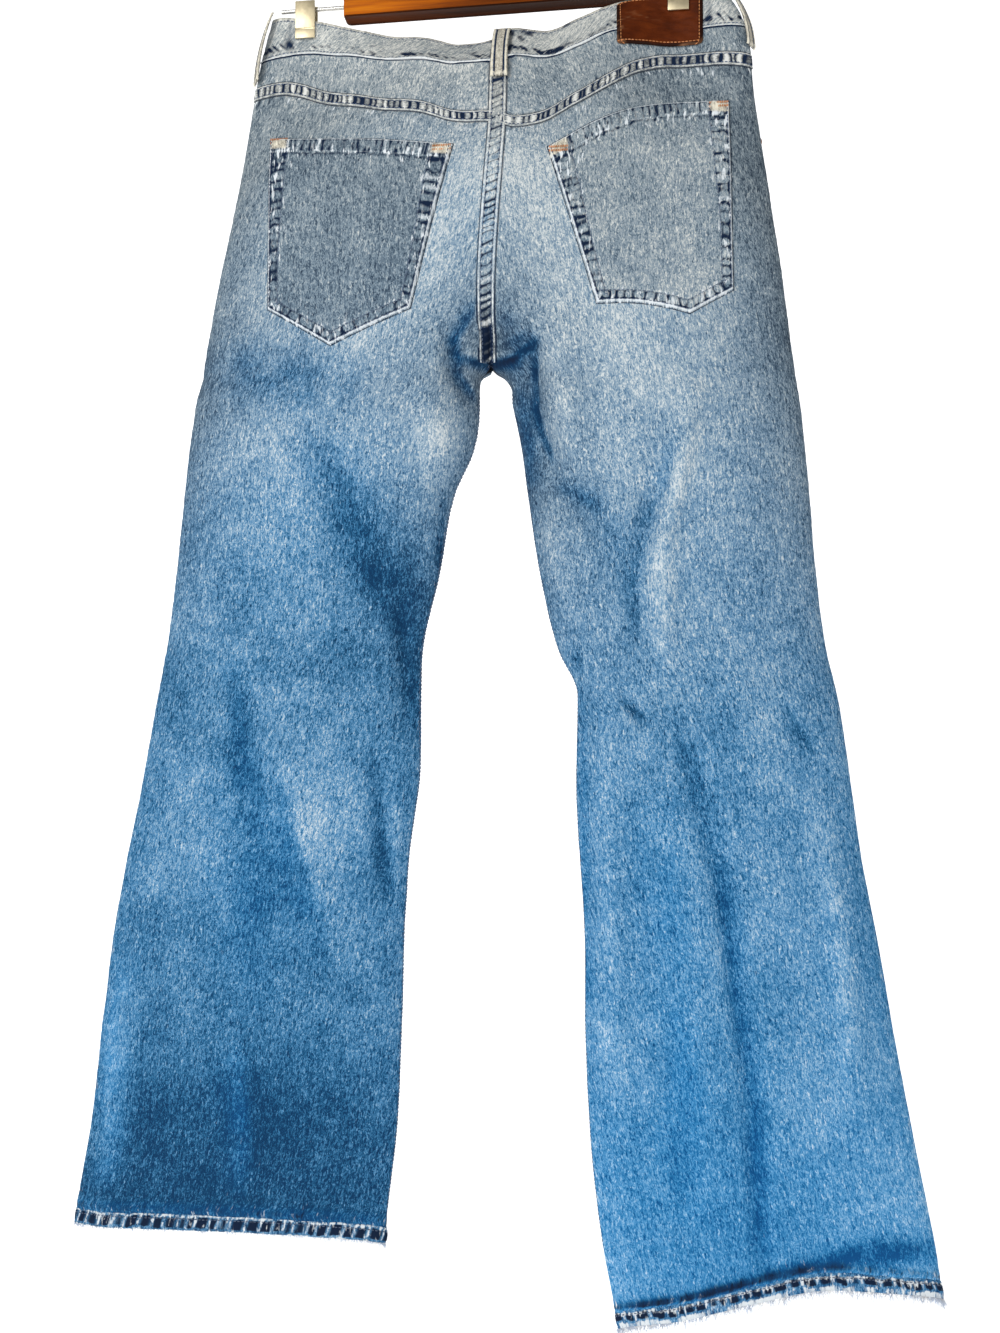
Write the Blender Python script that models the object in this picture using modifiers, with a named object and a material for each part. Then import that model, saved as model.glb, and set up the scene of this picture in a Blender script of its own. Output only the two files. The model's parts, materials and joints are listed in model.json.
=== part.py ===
"""Bootcut jeans hanging by two clips from a wooden hanger, modelled piece by piece as they are sewn.

The jeans' back faces -Y and their right leg, as the back is looked at, lies towards +X. The lengths
below are millimetres in the garment's own layout: x across, y through, z up from the centre-back
waist seam. The object's origin is the seat of the hanger's hook, so every point is moved there.
"""
import math

import bmesh
import bpy
import numpy as np
from mathutils import Matrix, Vector

MM = 0.001
HOOK_SEAT = (-6.0, 0.0, 160.0)
BACK, FRONT = -1, 1
LEFT, RIGHT = -1, 1
SIDE_NAME = {LEFT: "left", RIGHT: "right"}

# Cloth walls and the gap between sewn pieces
PANEL_WALL = 1.6
BAND_WALL = 2.2
HEM_WALL = 2.8
POCKET_WALL = 1.4
LOOP_WALL = 1.6
PATCH_WALL = 1.6
SEAM_GAP = 0.3
POCKET_GAP = 0.9
PATCH_GAP = 0.6

# Levels, down from the waist seam
BAND_HEIGHT = 38.0
CROTCH_LEVEL = -262.0
SEAT_TURN_LEVEL = -196.0
LEG_BLEND_TOP = -120.0
THIGH_BLEND_TOP = -150.0
THIGH_BLEND_END = -350.0
HEM_LEVEL = -990.0
HEM_HEIGHT = 13.0
SAG_FADE = 150.0

# Share of the half width over which the centre seam turns in at the crotch
CROTCH_GROOVE = 0.28

# How strongly the clips press front and back together, how far across and how far down that reaches
PINCH = 0.80
PINCH_ACROSS = 42.0
PINCH_FADE = 110.0

# The band's top edge: off the middle plane, leaning forwards between the clips, and out round the side loops
TOP_STANDOFF = 3.0
TOP_LEAN = {BACK: 5.0, FRONT: 2.5}
LEAN_REACH = 112.0
SIDE_LOOP_X = 184.0
SIDE_LOOP_REACH = 11.0
SIDE_LOOP_ROOM = 3.0

# A fold keeps this share of its rise at its ends
FOLD_END = 0.55
LEG_SWING_CURVE = 1.2

# Hanger
CLIP_X = {LEFT: -163.0, RIGHT: 151.0}
CLIP_WIDTH = 17.0
CLIP_BOTTOM = 29.0
CLIP_TOP = 61.0
CLIP_WALL = 1.2
BAR_LENGTH = 246.0
BAR_HEIGHT = 25.0
BAR_DEPTH = 15.0
BAR_Z = 55.4
ROD_RADIUS = 1.6
ROD_OVERHANG = 22.0
HOOK_WIRE = 1.9
HOOK_INNER_RADIUS = 22.0

# Half outline of the jeans and how deep they stand off the middle plane.
# level, left outer, left inner, right inner, right outer, depth
OUTLINE = (
    (40, -193, 6, 6, 189, 20),
    (0, -203, 6, 6, 206, 22),
    (-50, -212, 6, 6, 212, 30),
    (-100, -222, 4, 4, 220, 38),
    (-150, -233, 1, 1, 228, 43),
    (-200, -243, -2, -2, 235, 44),
    (-250, -252, -3, -3, 241, 43),
    (-258, -253, -3, -3, 242, 42),
    (-265, -255, -11, 6, 243, 41),
    (-272, -257, -13, 12, 244, 40),
    (-290, -260, -13, 15, 247, 39),
    (-325, -265, -18, 22, 251, 36),
    (-360, -269, -33, 27, 254, 33),
    (-430, -276, -47, 38, 259, 29),
    (-495, -284, -61, 54, 267, 26),
    (-530, -291, -62, 69, 275, 25),
    (-600, -303, -63, 68, 285, 23),
    (-660, -315, -71, 71, 293, 22),
    (-720, -326, -75, 75, 304, 21),
    (-800, -336, -77, 76, 317, 20),
    (-900, -347, -82, 82, 335, 18),
    (-960, -357, -89, 90, 346, 17),
    (-1025, -363, -94, 103, 353, 16),
)

# How the waist seam and the band's top edge hang between the clips.
# x, seam height, top height
BACK_WAIST = (
    (-203, 12, 49),
    (-163, 17, 46),
    (-128, 9, 37),
    (-91, -2, 27),
    (-58, -5, 24),
    (-30, -11, 18),
    (0, -11, 22),
    (14, -8, 29),
    (44, -11, 24),
    (69, -3, 31),
    (98, 10, 40),
    (151, 14, 44),
    (206, 14, 47),
)
FRONT_WAIST = (
    (-203, 12, 49),
    (-163, 11, 46),
    (-120, -6, 33),
    (-70, -27, 11),
    (-30, -36, 2),
    (6, -39, -1),
    (45, -35, 3),
    (80, -24, 14),
    (120, -2, 34),
    (151, 10, 44),
    (206, 14, 47),
)
WAIST = {BACK: BACK_WAIST, FRONT: FRONT_WAIST}

# Yoke seam: how far it lies below the waist seam.
# x, level
YOKE_SEAM = (
    (-205, -23),
    (-184, -24),
    (-146, -34),
    (-99, -37),
    (-57, -40),
    (-20, -46),
    (0, -47),
    (20, -56),
    (37, -53),
    (56, -46),
    (99, -36),
    (122, -27),
    (145, -22),
    (208, -24),
)

# Lower edge of the hems, from the side seam (0) to the inseam (1).
# across, left height, right height
HEM_EDGE = (
    (0.00, -981, -995),
    (0.25, -978, -985),
    (0.40, -975, -981),
    (0.55, -974, -992),
    (0.70, -976, -1007),
    (0.85, -980, -1015),
    (1.00, -986, -1022),
)

# Legs swing a little towards the back view: forward at the hem, and turned about the upright.
LEG_FORWARD = {LEFT: -9.0, RIGHT: -28.0}
LEG_YAW = {LEFT: 0.02, RIGHT: 0.09}

# Folds: soft troughs (negative) and ridges (positive) along a straight run.
# face, x start, z start, x end, z end, half width, rise
FOLDS = (
    (BACK, -14, -238, 33, -246, 9, -7.0),
    (BACK, 33, -250, 34, -300, 9, -8.0),
    (BACK, 36, -300, 50, -348, 9, -6.0),
    (BACK, 58, -250, 66, -330, 16, 5.0),
    (BACK, 52, -362, 90, -400, 12, -4.0),
    (BACK, -26, -240, -30, -262, 8, -6.0),
    (BACK, -30, -262, -16, -290, 8, -5.0),
    (BACK, -52, -250, -44, -330, 16, 4.0),
    (BACK, 161, -294, 138, -410, 9, 4.0),
    (BACK, 138, -410, 139, -500, 10, 4.0),
    (BACK, 133, -345, 122, -410, 10, -3.0),
    (BACK, 108, -529, 122, -553, 5, -3.5),
    (BACK, 160, -560, 176, -650, 10, -3.0),
    (BACK, 176, -650, 200, -810, 8, -4.5),
    (BACK, 200, -810, 212, -960, 8, -5.5),
    (BACK, 268, -660, 285, -850, 14, 3.5),
    (BACK, 98, -650, 100, -860, 10, 3.5),
    (BACK, 146, -790, 148, -930, 16, -3.5),
    (BACK, -76, -455, -72, -560, 7, -4.0),
    (BACK, -90, -590, -90, -690, 8, -3.5),
    (BACK, -128, -345, -120, -440, 16, -4.0),
    (BACK, -206, -520, -200, -640, 14, -4.0),
    (BACK, -172, -625, -148, -720, 12, 3.0),
    (BACK, -310, -700, -325, -850, 9, -3.0),
    (BACK, -230, -130, -232, -250, 10, 3.0),
    (FRONT, 20, -205, 120, -170, 14, -5.0),
    (FRONT, -16, -215, -110, -185, 13, -4.5),
    (FRONT, 40, -262, 60, -380, 12, -6.0),
    (FRONT, -42, -270, -66, -370, 12, -5.5),
    (FRONT, 150, -300, 165, -520, 18, 4.0),
    (FRONT, -158, -320, -170, -500, 18, 4.0),
    (FRONT, 150, -560, 196, -760, 12, -4.0),
    (FRONT, 205, -760, 222, -950, 12, -4.5),
    (FRONT, -160, -560, -205, -740, 12, -3.5),
    (FRONT, -215, -760, -228, -950, 12, -4.0),
)

# Front pocket scoop: its width at the waist seam and its drop at the side seam
SCOOP_ACROSS = 0.66
SCOOP_DROP = 76.0
FACING_TUCK = 16.0

# Back pockets: corners on the panel.
# top outer, top inner, bottom inner, point, bottom outer, each (x, z)
POCKET_CORNERS = {
    LEFT: ((-189, -62), (-31, -86), (-64, -219), (-130, -246), (-185, -212)),
    RIGHT: ((190, -54), (47, -93), (86, -221), (158, -230), (192, -210)),
}

# How far a pocket's top edge and the inner run of its lower edge bow upwards
POCKET_TOP_BOW = {LEFT: 0.5, RIGHT: 14.5}
POCKET_LOW_BOW = {LEFT: 0.5, RIGHT: 3.5}

PATCH_X = (101.0, 171.0)
PATCH_TOP = 36.0
PATCH_BOTTOM = -14.0

# Belt loops
LOOP_WIDTH = 12.4
LOOP_RISE = 2.0
LOOP_DROP = 18.0
LOOP_STANDOFF = 2.4

# name, side, face, across, facing in radians away from straight back or straight front, gap to the cloth
BELT_LOOPS = (
    ("centre_back", RIGHT, BACK, 1.0, 0.0, 0.55),
    ("side_left", LEFT, BACK, 0.10, -1.0, 1.2),
    ("side_right", RIGHT, BACK, 0.10, 1.0, 1.2),
    ("front_left", LEFT, FRONT, 0.70, -0.07, 1.2),
    ("front_right", RIGHT, FRONT, 0.70, 0.07, 1.2),
)

# Grids: columns of a panel, of them round the pocket scoop, and the spacing of rows from each level down
BACK_COLUMNS = 14
SCOOP_COLUMNS = 8
EDGE_BLEND = 110.0
YOKE_TOP_ROW = -20.0
ROW_SPACING = (
    (50, 28),
    (-140, 15),
    (-200, 11),
    (-244, 6),
    (-268, 14),
    (-296, 28),
    (-360, 40),
)

# Colours: name, red, green, blue, roughness, metallic
FINISHES = (
    ("denim", 0.33, 0.46, 0.60, 0.90, 0.0),
    ("denim_pale", 0.42, 0.51, 0.60, 0.90, 0.0),
    ("denim_dark", 0.10, 0.15, 0.27, 0.90, 0.0),
    ("leather", 0.24, 0.08, 0.03, 0.50, 0.0),
    ("wood", 0.52, 0.22, 0.05, 0.40, 0.0),
    ("steel", 0.62, 0.62, 0.60, 0.30, 1.0),
    ("clip_metal", 0.72, 0.65, 0.50, 0.35, 0.8),
    ("copper", 0.45, 0.27, 0.15, 0.40, 1.0),
)


def clear_scene():
    """Remove what the scene holds, so that the script can be run again."""
    for scene_object in list(bpy.data.objects):
        bpy.data.objects.remove(scene_object, do_unlink=True)


def make_finishes():
    """One Principled material for each row of the finish table."""
    finishes = {}
    for name, red, green, blue, roughness, metallic in FINISHES:
        finish = bpy.data.materials.new(name)
        finish.use_nodes = True
        shader = finish.node_tree.nodes["Principled BSDF"]
        shader.inputs["Base Color"].default_value = (red, green, blue, 1.0)
        shader.inputs["Roughness"].default_value = roughness
        shader.inputs["Metallic"].default_value = metallic
        finish.diffuse_color = (red, green, blue, 1.0)
        finishes[name] = finish
    return finishes


def smooth(value):
    """Ease from 0 to 1."""
    value = np.clip(value, 0.0, 1.0)
    return value * value * (3.0 - 2.0 * value)


def along(rows, column, at):
    """Read one column of a table as a smooth curve over its first column."""
    table = np.array(rows, dtype=float)
    table = table[np.argsort(table[:, 0])]
    keys = table[:, 0]
    values = table[:, column]
    steps = np.diff(values) / np.diff(keys)
    slopes = np.gradient(values, keys)
    slopes[1:-1][steps[1:] * steps[:-1] <= 0] = 0.0
    at = np.clip(np.asarray(at, dtype=float), keys[0], keys[-1])
    left = np.clip(np.searchsorted(keys, at) - 1, 0, len(keys) - 2)
    span = keys[left + 1] - keys[left]
    t = (at - keys[left]) / span
    start = (1 + 2 * t) * (1 - t) ** 2 * values[left] + t * (1 - t) ** 2 * span * slopes[left]
    end = t ** 2 * (3 - 2 * t) * values[left + 1] - t ** 2 * (1 - t) * span * slopes[left + 1]
    return start + end


def outline(side, level):
    """Outer edge, inner edge and depth of one half at a level."""
    outer_column, inner_column = (1, 2) if side == LEFT else (4, 3)
    outer = along(OUTLINE, outer_column, level)
    inner = along(OUTLINE, inner_column, level)
    return outer, inner, along(OUTLINE, 5, level)


def way_in(across, level):
    """Share of the width reached at a place across: crowded at the side seam, and on a leg at both edges."""
    on_leg = smooth((LEG_BLEND_TOP - level) / (LEG_BLEND_TOP - CROTCH_LEVEL))
    seat = 1 - np.cos(across * math.pi / 2)
    leg = (1 - np.cos(across * math.pi)) / 2
    return seat * (1 - on_leg) + leg * on_leg


def across_at(share, level):
    """Place across where that share of the width is reached."""
    low = np.zeros(np.broadcast(share, level).shape)
    high = np.ones(low.shape)
    for _ in range(30):
        middle = (low + high) / 2
        short = way_in(middle, level) < share
        low = np.where(short, middle, low)
        high = np.where(short, high, middle)
    return (low + high) / 2


def section(share, level):
    """Depth over the width, 0 to 1: a quarter ellipse on the seat, half an ellipse on a leg.

    Towards the crotch the centre seam curves in under the seat.
    """
    on_leg = smooth((THIGH_BLEND_TOP - level) / (THIGH_BLEND_TOP - THIGH_BLEND_END))
    seat = np.sqrt(np.clip(1 - (1 - share) ** 2, 0.0, 1.0))
    leg = 2 * np.sqrt(np.clip(share * (1 - share), 0.0, 1.0))
    turned_in = np.clip((SEAT_TURN_LEVEL - level) / (SEAT_TURN_LEVEL - CROTCH_LEVEL), 0.0, 1.0)
    arch = np.sqrt(1 - turned_in ** 2)
    from_edge = np.clip((1 - share) / CROTCH_GROOVE, 0.0, 1.0)
    groove = 1 - (1 - arch) * (1 - np.sqrt(1 - (1 - from_edge) ** 2))
    return seat * (1 - on_leg) * groove + leg * on_leg


def fold_rise(face, x, z):
    """How far the folds push the cloth outwards at a place."""
    rise = np.zeros(np.broadcast(x, z).shape)
    for fold_face, x_start, z_start, x_end, z_end, half_width, height in FOLDS:
        if fold_face != face:
            continue
        run_x, run_z = x_end - x_start, z_end - z_start
        share = ((x - x_start) * run_x + (z - z_start) * run_z) / (run_x ** 2 + run_z ** 2)
        share = np.clip(share, 0.0, 1.0)
        away = np.hypot(x - x_start - share * run_x, z - z_start - share * run_z)
        rise = rise + height * np.exp(-(away / half_width) ** 2) * (FOLD_END + (1 - FOLD_END) * np.sin(math.pi * share))
    return rise


def clip_pinch(x, level):
    """How strongly the two clips press front and back together."""
    pressed = sum(np.exp(-((x - clip_x) / PINCH_ACROSS) ** 2) for clip_x in CLIP_X.values())
    return PINCH * np.clip(pressed, 0.0, 1.0) * smooth(1.0 + level / PINCH_FADE)


def form(side, face, across, level, gap=SEAM_GAP):
    """Point on the cloth's outside: across runs from the side seam (0) to the inner edge (1).

    Past those edges it carries on over the neighbouring piece, as its mirror image.
    """
    across, level = np.broadcast_arrays(np.asarray(across, dtype=float), np.asarray(level, dtype=float))
    outer, inner, depth = outline(side, level)
    past_inner = across > 1
    on_leg = level <= CROTCH_LEVEL
    share = way_in(np.where(past_inner, 2 - across, np.abs(across)), level)
    x = outer - (outer - inner) * share
    x = np.where(past_inner & ~on_leg, 2 * inner - x, x)
    bulge = section(share, level)
    turned = np.where((across < 0) | (past_inner & on_leg), -1.0, 1.0)
    seam_z = along(WAIST[face], 1, x)
    top_z = along(WAIST[face], 2, x)
    rise = np.clip(level / BAND_HEIGHT, 0.0, 1.0)
    z = level + seam_z * smooth(1.0 + level / SAG_FADE)
    z = np.where(level > 0, seam_z + (top_z - seam_z) * rise, z)
    body = face * turned * depth * bulge * (1 - clip_pinch(x, level))
    lean = TOP_LEAN[face] * np.clip(1 - (x / LEAN_REACH) ** 2, 0.0, 1.0) ** 2
    side_loop = SIDE_LOOP_ROOM * np.exp(-((np.abs(x) - SIDE_LOOP_X) / SIDE_LOOP_REACH) ** 2)
    edge = face * turned * (TOP_STANDOFF + side_loop) * np.tanh(3.0 * bulge) + lean
    y = body * (1 - rise) + edge * rise
    leg = np.clip((CROTCH_LEVEL - level) / (CROTCH_LEVEL - HEM_LEVEL), 0.0, 1.0) ** LEG_SWING_CURVE
    y = y + LEG_FORWARD[side] * leg + LEG_YAW[side] * (x - (outer + inner) / 2) * leg
    window = smooth(bulge / 0.55) * smooth(-level / 60.0)
    y = y + face * fold_rise(face, x, z) * window
    return np.stack([x + side * gap / 2, y + face * gap / 2, z], axis=-1)


def locate(side, face, x, z):
    """Across and level of the place on a panel seen at x and z."""
    x = np.asarray(x, dtype=float)
    level = np.asarray(z, dtype=float).copy()
    for _ in range(8):
        level = z - along(WAIST[face], 1, x) * smooth(1.0 + level / SAG_FADE)
    outer, inner, _ = outline(side, level)
    return across_at((outer - x) / (outer - inner), level), level


def normals(side, face, across, level):
    """Unit normals of the cloth, pointing out. Past an edge the curve is carried on, so they match there."""
    across, level = np.broadcast_arrays(np.asarray(across, dtype=float), np.asarray(level, dtype=float))
    step = 0.004
    along_across = form(side, face, across + step, level, 0.0) - form(side, face, across - step, level, 0.0)
    along_level = form(side, face, across, level + 0.8, 0.0) - form(side, face, across, level - 0.8, 0.0)
    normal = np.cross(along_across, along_level) * face * side
    return normal / (np.linalg.norm(normal, axis=-1, keepdims=True) + 1e-12)


def add_object(name, mesh, collection, finish):
    """Link a mesh as the named piece."""
    piece = bpy.data.objects.new(name, mesh)
    mesh.materials.append(finish)
    collection.objects.link(piece)
    return piece


def sheet(name, outer, inner, collection, finish, ring=False):
    """Bend a flat slab onto the outer and inner points of a cloth wall."""
    columns, rows = outer.shape[0], outer.shape[1]
    work = bmesh.new()
    bmesh.ops.create_grid(work, x_segments=columns - 1, y_segments=rows - 1, size=1.0)
    doubled = bmesh.ops.extrude_face_region(work, geom=work.faces[:])
    for item in doubled["geom"]:
        if isinstance(item, bmesh.types.BMVert):
            item.co.z = -1.0
    bmesh.ops.recalc_face_normals(work, faces=work.faces)
    if ring:
        ends = [f for f in work.faces if abs(f.calc_center_median().x) > 0.9999]
        bmesh.ops.delete(work, geom=ends, context="FACES_ONLY")
    for vertex in work.verts:
        column = round((vertex.co.x + 1) / 2 * (columns - 1))
        row = round((vertex.co.y + 1) / 2 * (rows - 1))
        points = outer if vertex.co.z > -0.5 else inner
        vertex.co = Vector((points[column, row] - HOOK_SEAT) * MM)
    if ring:
        bmesh.ops.remove_doubles(work, verts=work.verts, dist=1e-6)
    if work.calc_volume(signed=True) < 0:
        bmesh.ops.reverse_faces(work, faces=work.faces)
    mesh = bpy.data.meshes.new(name)
    work.to_mesh(mesh)
    work.free()
    mesh.shade_smooth()
    return add_object(name, mesh, collection, finish)


def cloth(name, side, face, across, levels, wall, collection, finish, lift=0.0):
    """Piece of cloth over a grid of places, its inside a wall's thickness further in."""
    across = np.broadcast_to(across, levels.shape)
    normal = normals(side, face, across, levels)
    outer = form(side, face, across, levels) + normal * lift
    return sheet(name, outer, outer - normal * wall, collection, finish)


def row_levels(top, bottom):
    """Levels of a panel's rows, closest together at the crotch."""
    levels = [top]
    while levels[-1] > bottom:
        spacing = [step for start, step in ROW_SPACING if levels[-1] <= start][-1]
        levels.append(levels[-1] - spacing)
    levels[-1] = bottom
    if levels[-2] - bottom < 8.0:
        del levels[-2]
    return np.array(levels)


def panel_levels(across, start, top, bottom):
    """Grid of levels whose first and last rows follow the panel's upper and lower edges."""
    upper, lower = top(across), bottom(across)
    rows = row_levels(start, lower.min())
    near_top = np.clip(1 - (rows[0] - rows) / EDGE_BLEND, 0.0, 1.0)
    near_bottom = np.clip(1 - (rows - rows[-1]) / EDGE_BLEND, 0.0, 1.0)
    shift_top = (upper - rows[0])[:, None] * near_top[None, :]
    shift_bottom = (lower - rows[-1])[:, None] * near_bottom[None, :]
    return rows[None, :] + shift_top + shift_bottom


def even_levels(across, top, bottom, rows):
    """Grid of levels, evenly spaced between two edges."""
    share = np.linspace(0.0, 1.0, rows)
    upper, lower = top(across)[:, None], bottom(across)[:, None]
    return upper + (lower - upper) * share[None, :]


def yoke_level(side):
    """Yoke seam of one half as a curve over the places across."""
    def level(across):
        x = form(side, BACK, across, np.full(np.shape(across), -40.0))[..., 0]
        return along(YOKE_SEAM, 1, x)
    return level


def hem_edge(side):
    """Lower edge of a leg's hem over the places across."""
    column = 1 if side == LEFT else 2
    return lambda across: along(HEM_EDGE, column, across)


def scoop_level(across):
    """Edge of the front pocket's opening: a quarter ellipse from the side seam to the waist seam."""
    reach = np.clip(across / SCOOP_ACROSS, 0.0, 1.0)
    return -SCOOP_DROP * np.sqrt(1 - reach ** 2)


def shifted(curve, amount):
    """The same edge, moved up or down."""
    return lambda across: curve(across) + amount


def level_line(level):
    """A level edge."""
    return lambda across: np.full(np.shape(across), level)


def back_across():
    """Places across the back, closer together towards the side seam."""
    share = np.linspace(0.0, 1.0, BACK_COLUMNS)
    return 0.65 * share + 0.35 * share ** 1.6


def front_across():
    """Places across the front: steps round the pocket scoop, then even ones."""
    scoop = SCOOP_ACROSS * np.sin(np.linspace(0.0, math.pi / 2, SCOOP_COLUMNS))
    plain = np.linspace(SCOOP_ACROSS, 1.0, BACK_COLUMNS - SCOOP_COLUMNS + 1)[1:]
    return np.concatenate([scoop, plain])


def build_panels(collection, finishes):
    """Front and back leg panels, yokes and the facings that show in the front pockets."""
    half = SEAM_GAP / 2
    for side in (LEFT, RIGHT):
        name = SIDE_NAME[side]
        hem_top = shifted(hem_edge(side), HEM_HEIGHT + 2 * SEAM_GAP)
        across = back_across()
        levels = panel_levels(across, YOKE_TOP_ROW, shifted(yoke_level(side), -half), hem_top)
        cloth("back_panel_" + name, side, BACK, across[:, None], levels, PANEL_WALL,
              collection, finishes["denim"])
        levels = even_levels(across, level_line(-half), shifted(yoke_level(side), half), 4)
        cloth("yoke_" + name, side, BACK, across[:, None], levels, PANEL_WALL,
              collection, finishes["denim_pale"])
        across = front_across()
        levels = panel_levels(across, 0.0, lambda at: np.minimum(scoop_level(at), -half), hem_top)
        cloth("front_panel_" + name, side, FRONT, across[:, None], levels, PANEL_WALL,
              collection, finishes["denim"])
        build_facing(side, name, collection, finishes)


def build_facing(side, name, collection, finishes):
    """Pocket facing behind the scooped opening, set in by the panel's wall."""
    scoop = front_across()[:SCOOP_COLUMNS + 1]
    levels = even_levels(scoop, level_line(-1.0), lambda at: scoop_level(at) - FACING_TUCK, 5)
    cloth("pocket_facing_" + name, side, FRONT, scoop[:, None], levels, PANEL_WALL,
          collection, finishes["denim_pale"], lift=-(PANEL_WALL + SEAM_GAP + 0.2))


def build_hems(collection, finishes):
    """Turned hem of each leg: a closed ring all the way round."""
    for side in (LEFT, RIGHT):
        edge = hem_edge(side)
        ring = [(BACK, place) for place in back_across()]
        ring += [(FRONT, place) for place in front_across()[::-1]]
        ring[BACK_COLUMNS - 1:BACK_COLUMNS + 1] = [(BACK, 1.0)]
        outer, inner = [], []
        for face, place in ring:
            low = float(edge(np.array(place)))
            levels = np.linspace(low + HEM_HEIGHT - SEAM_GAP, low, 3)
            places = np.full(3, place)
            normal = normals(side, face, places, levels)
            points = form(side, face, places, levels, gap=0.0) + normal * 0.3
            outer.append(points)
            inner.append(points - normal * HEM_WALL)
        sheet("hem_" + SIDE_NAME[side], np.array(outer), np.array(inner), collection,
              finishes["denim_dark"], ring=True)


def band_stations():
    """Places round the waistband from the lapping end, over the left side, to the end beneath it.

    Each is side, face, across and how far the band lies inside the outer surface.
    """
    lap = [(RIGHT, FRONT, place, 0.0) for place in (0.925, 0.96)]
    front = [(LEFT, FRONT, place, 0.0) for place in front_across()[::-1]]
    back = [(LEFT, BACK, place, 0.0) for place in back_across()[1:]]
    far_back = [(RIGHT, BACK, place, 0.0) for place in back_across()[::-1][1:]]
    under = []
    for place in front_across()[1:]:
        tuck = (BAND_WALL + SEAM_GAP + 0.2) * float(smooth((place - 0.80) / 0.09))
        under.append((RIGHT, FRONT, place, tuck))
    return lap + front + back + far_back + under


def build_waistband(collection, finishes):
    """The band as one strip, lapped and buttoned at the centre front."""
    levels = np.linspace(SEAM_GAP / 2, BAND_HEIGHT, 4)
    outer, inner = [], []
    for side, face, across, tuck in band_stations():
        places = np.full(len(levels), across)
        normal = normals(side, face, places, levels)
        points = form(side, face, places, levels, gap=0.0) - normal * tuck
        outer.append(points)
        inner.append(points - normal * BAND_WALL)
    sheet("waistband", np.array(outer), np.array(inner), collection, finishes["denim_pale"])


def pocket_places(side, columns, rows):
    """Places of a back pocket's grid: straight top, sides that narrow and a pointed lower edge."""
    top_outer, top_inner, low_inner, point, low_outer = [np.array(c, float) for c in POCKET_CORNERS[side]]
    inner_run, outer_run = np.linalg.norm(point - low_inner), np.linalg.norm(low_outer - point)
    tip = inner_run / (inner_run + outer_run)
    tip_column = round(tip * (columns - 1))
    share = np.concatenate([np.linspace(0.0, tip, tip_column + 1),
                            np.linspace(tip, 1.0, columns - tip_column)[1:]])
    upper = top_inner + (top_outer - top_inner) * share[:, None]
    upper[:, 1] += POCKET_TOP_BOW[side] * np.sin(math.pi * share)
    before = low_inner + (point - low_inner) * share[:, None] / tip
    before[:, 1] += POCKET_LOW_BOW[side] * np.sin(math.pi * np.clip(share / tip, 0.0, 1.0))
    after = point + (low_outer - point) * (share[:, None] - tip) / (1 - tip)
    lower = np.where(share[:, None] <= tip, before, after)
    down = np.linspace(0.0, 1.0, rows)[None, :, None]
    return upper[:, None, :] + (lower - upper)[:, None, :] * down


def build_back_pockets(collection, finishes):
    """Patch pockets, lying on the back panels."""
    for side in (LEFT, RIGHT):
        places = pocket_places(side, 10, 9)
        across, level = locate(side, BACK, places[..., 0], places[..., 1])
        cloth("back_pocket_" + SIDE_NAME[side], side, BACK, across, level, POCKET_WALL,
              collection, finishes["denim_pale"], lift=POCKET_WALL + POCKET_GAP)


def build_patch(collection, finishes):
    """Plain leather patch over the band and the top of the yoke."""
    x = np.linspace(PATCH_X[0], PATCH_X[1], 8)
    levels = np.concatenate([np.linspace(PATCH_TOP, 0.0, 5), np.linspace(0.0, PATCH_BOTTOM, 3)[1:]])
    outer, inner, _ = outline(RIGHT, levels)
    share = (outer[None, :] - x[:, None]) / (outer - inner)[None, :]
    levels = np.broadcast_to(levels, share.shape)
    cloth("leather_patch", RIGHT, BACK, across_at(share, levels), levels, PATCH_WALL,
          collection, finishes["leather"], lift=PATCH_WALL + PATCH_GAP)


def build_loop(name, side, face, across, facing, gap, collection, finishes):
    """Belt loop: a strip held at both ends, standing off the band between them."""
    steps = np.linspace(0.0, 1.0, 13)
    levels = BAND_HEIGHT + LOOP_RISE - steps * (BAND_HEIGHT + LOOP_RISE + LOOP_DROP)
    base = form(side, face, np.full(len(levels), across), np.minimum(levels, BAND_HEIGHT), gap=0.0)
    base[:, 2] += np.maximum(levels - BAND_HEIGHT, 0.0)
    normal = np.array([math.sin(facing), math.cos(facing) * face, 0.0])
    reach = base @ normal
    chord = reach[0] + (reach[-1] - reach[0]) * steps
    arch = (max(0.0, (reach - chord).max()) + LOOP_STANDOFF) * np.sin(math.pi * steps) ** 0.6
    lift = chord + arch - reach + LOOP_WALL + gap
    outer_line = base + normal * lift[:, None]
    width = np.array([normal[1], -normal[0], 0.0]) * LOOP_WIDTH / 2
    outer = np.stack([outer_line - width, outer_line, outer_line + width])
    sheet(name, outer, outer - normal * LOOP_WALL, collection, finishes["denim_pale"])


def build_loops(collection, finishes):
    """Five belt loops: centre back, both sides and two in front."""
    for name, side, face, across, facing, gap in BELT_LOOPS:
        build_loop("belt_loop_" + name, side, face, across, facing, gap, collection, finishes)


def disc(name, centre, normal, radius, height, collection, finish, sides=20):
    """Low round head on the cloth, such as a button or a rivet."""
    work = bmesh.new()
    bmesh.ops.create_cone(work, cap_ends=True, segments=sides, radius1=radius * MM,
                          radius2=radius * 0.82 * MM, depth=height * MM)
    turn = Vector((0.0, 0.0, 1.0)).rotation_difference(Vector(normal)).to_matrix().to_4x4()
    where = Vector((np.asarray(centre) - HOOK_SEAT) * MM) + Vector(normal) * height / 2 * MM
    work.transform(Matrix.Translation(where) @ turn)
    mesh = bpy.data.meshes.new(name)
    work.to_mesh(mesh)
    work.free()
    return add_object(name, mesh, collection, finish)


def surface_frame(side, face, across, level):
    """Point and outward normal of the cloth at one place."""
    return form(side, face, across, level, gap=0.0), normals(side, face, across, level)


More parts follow.
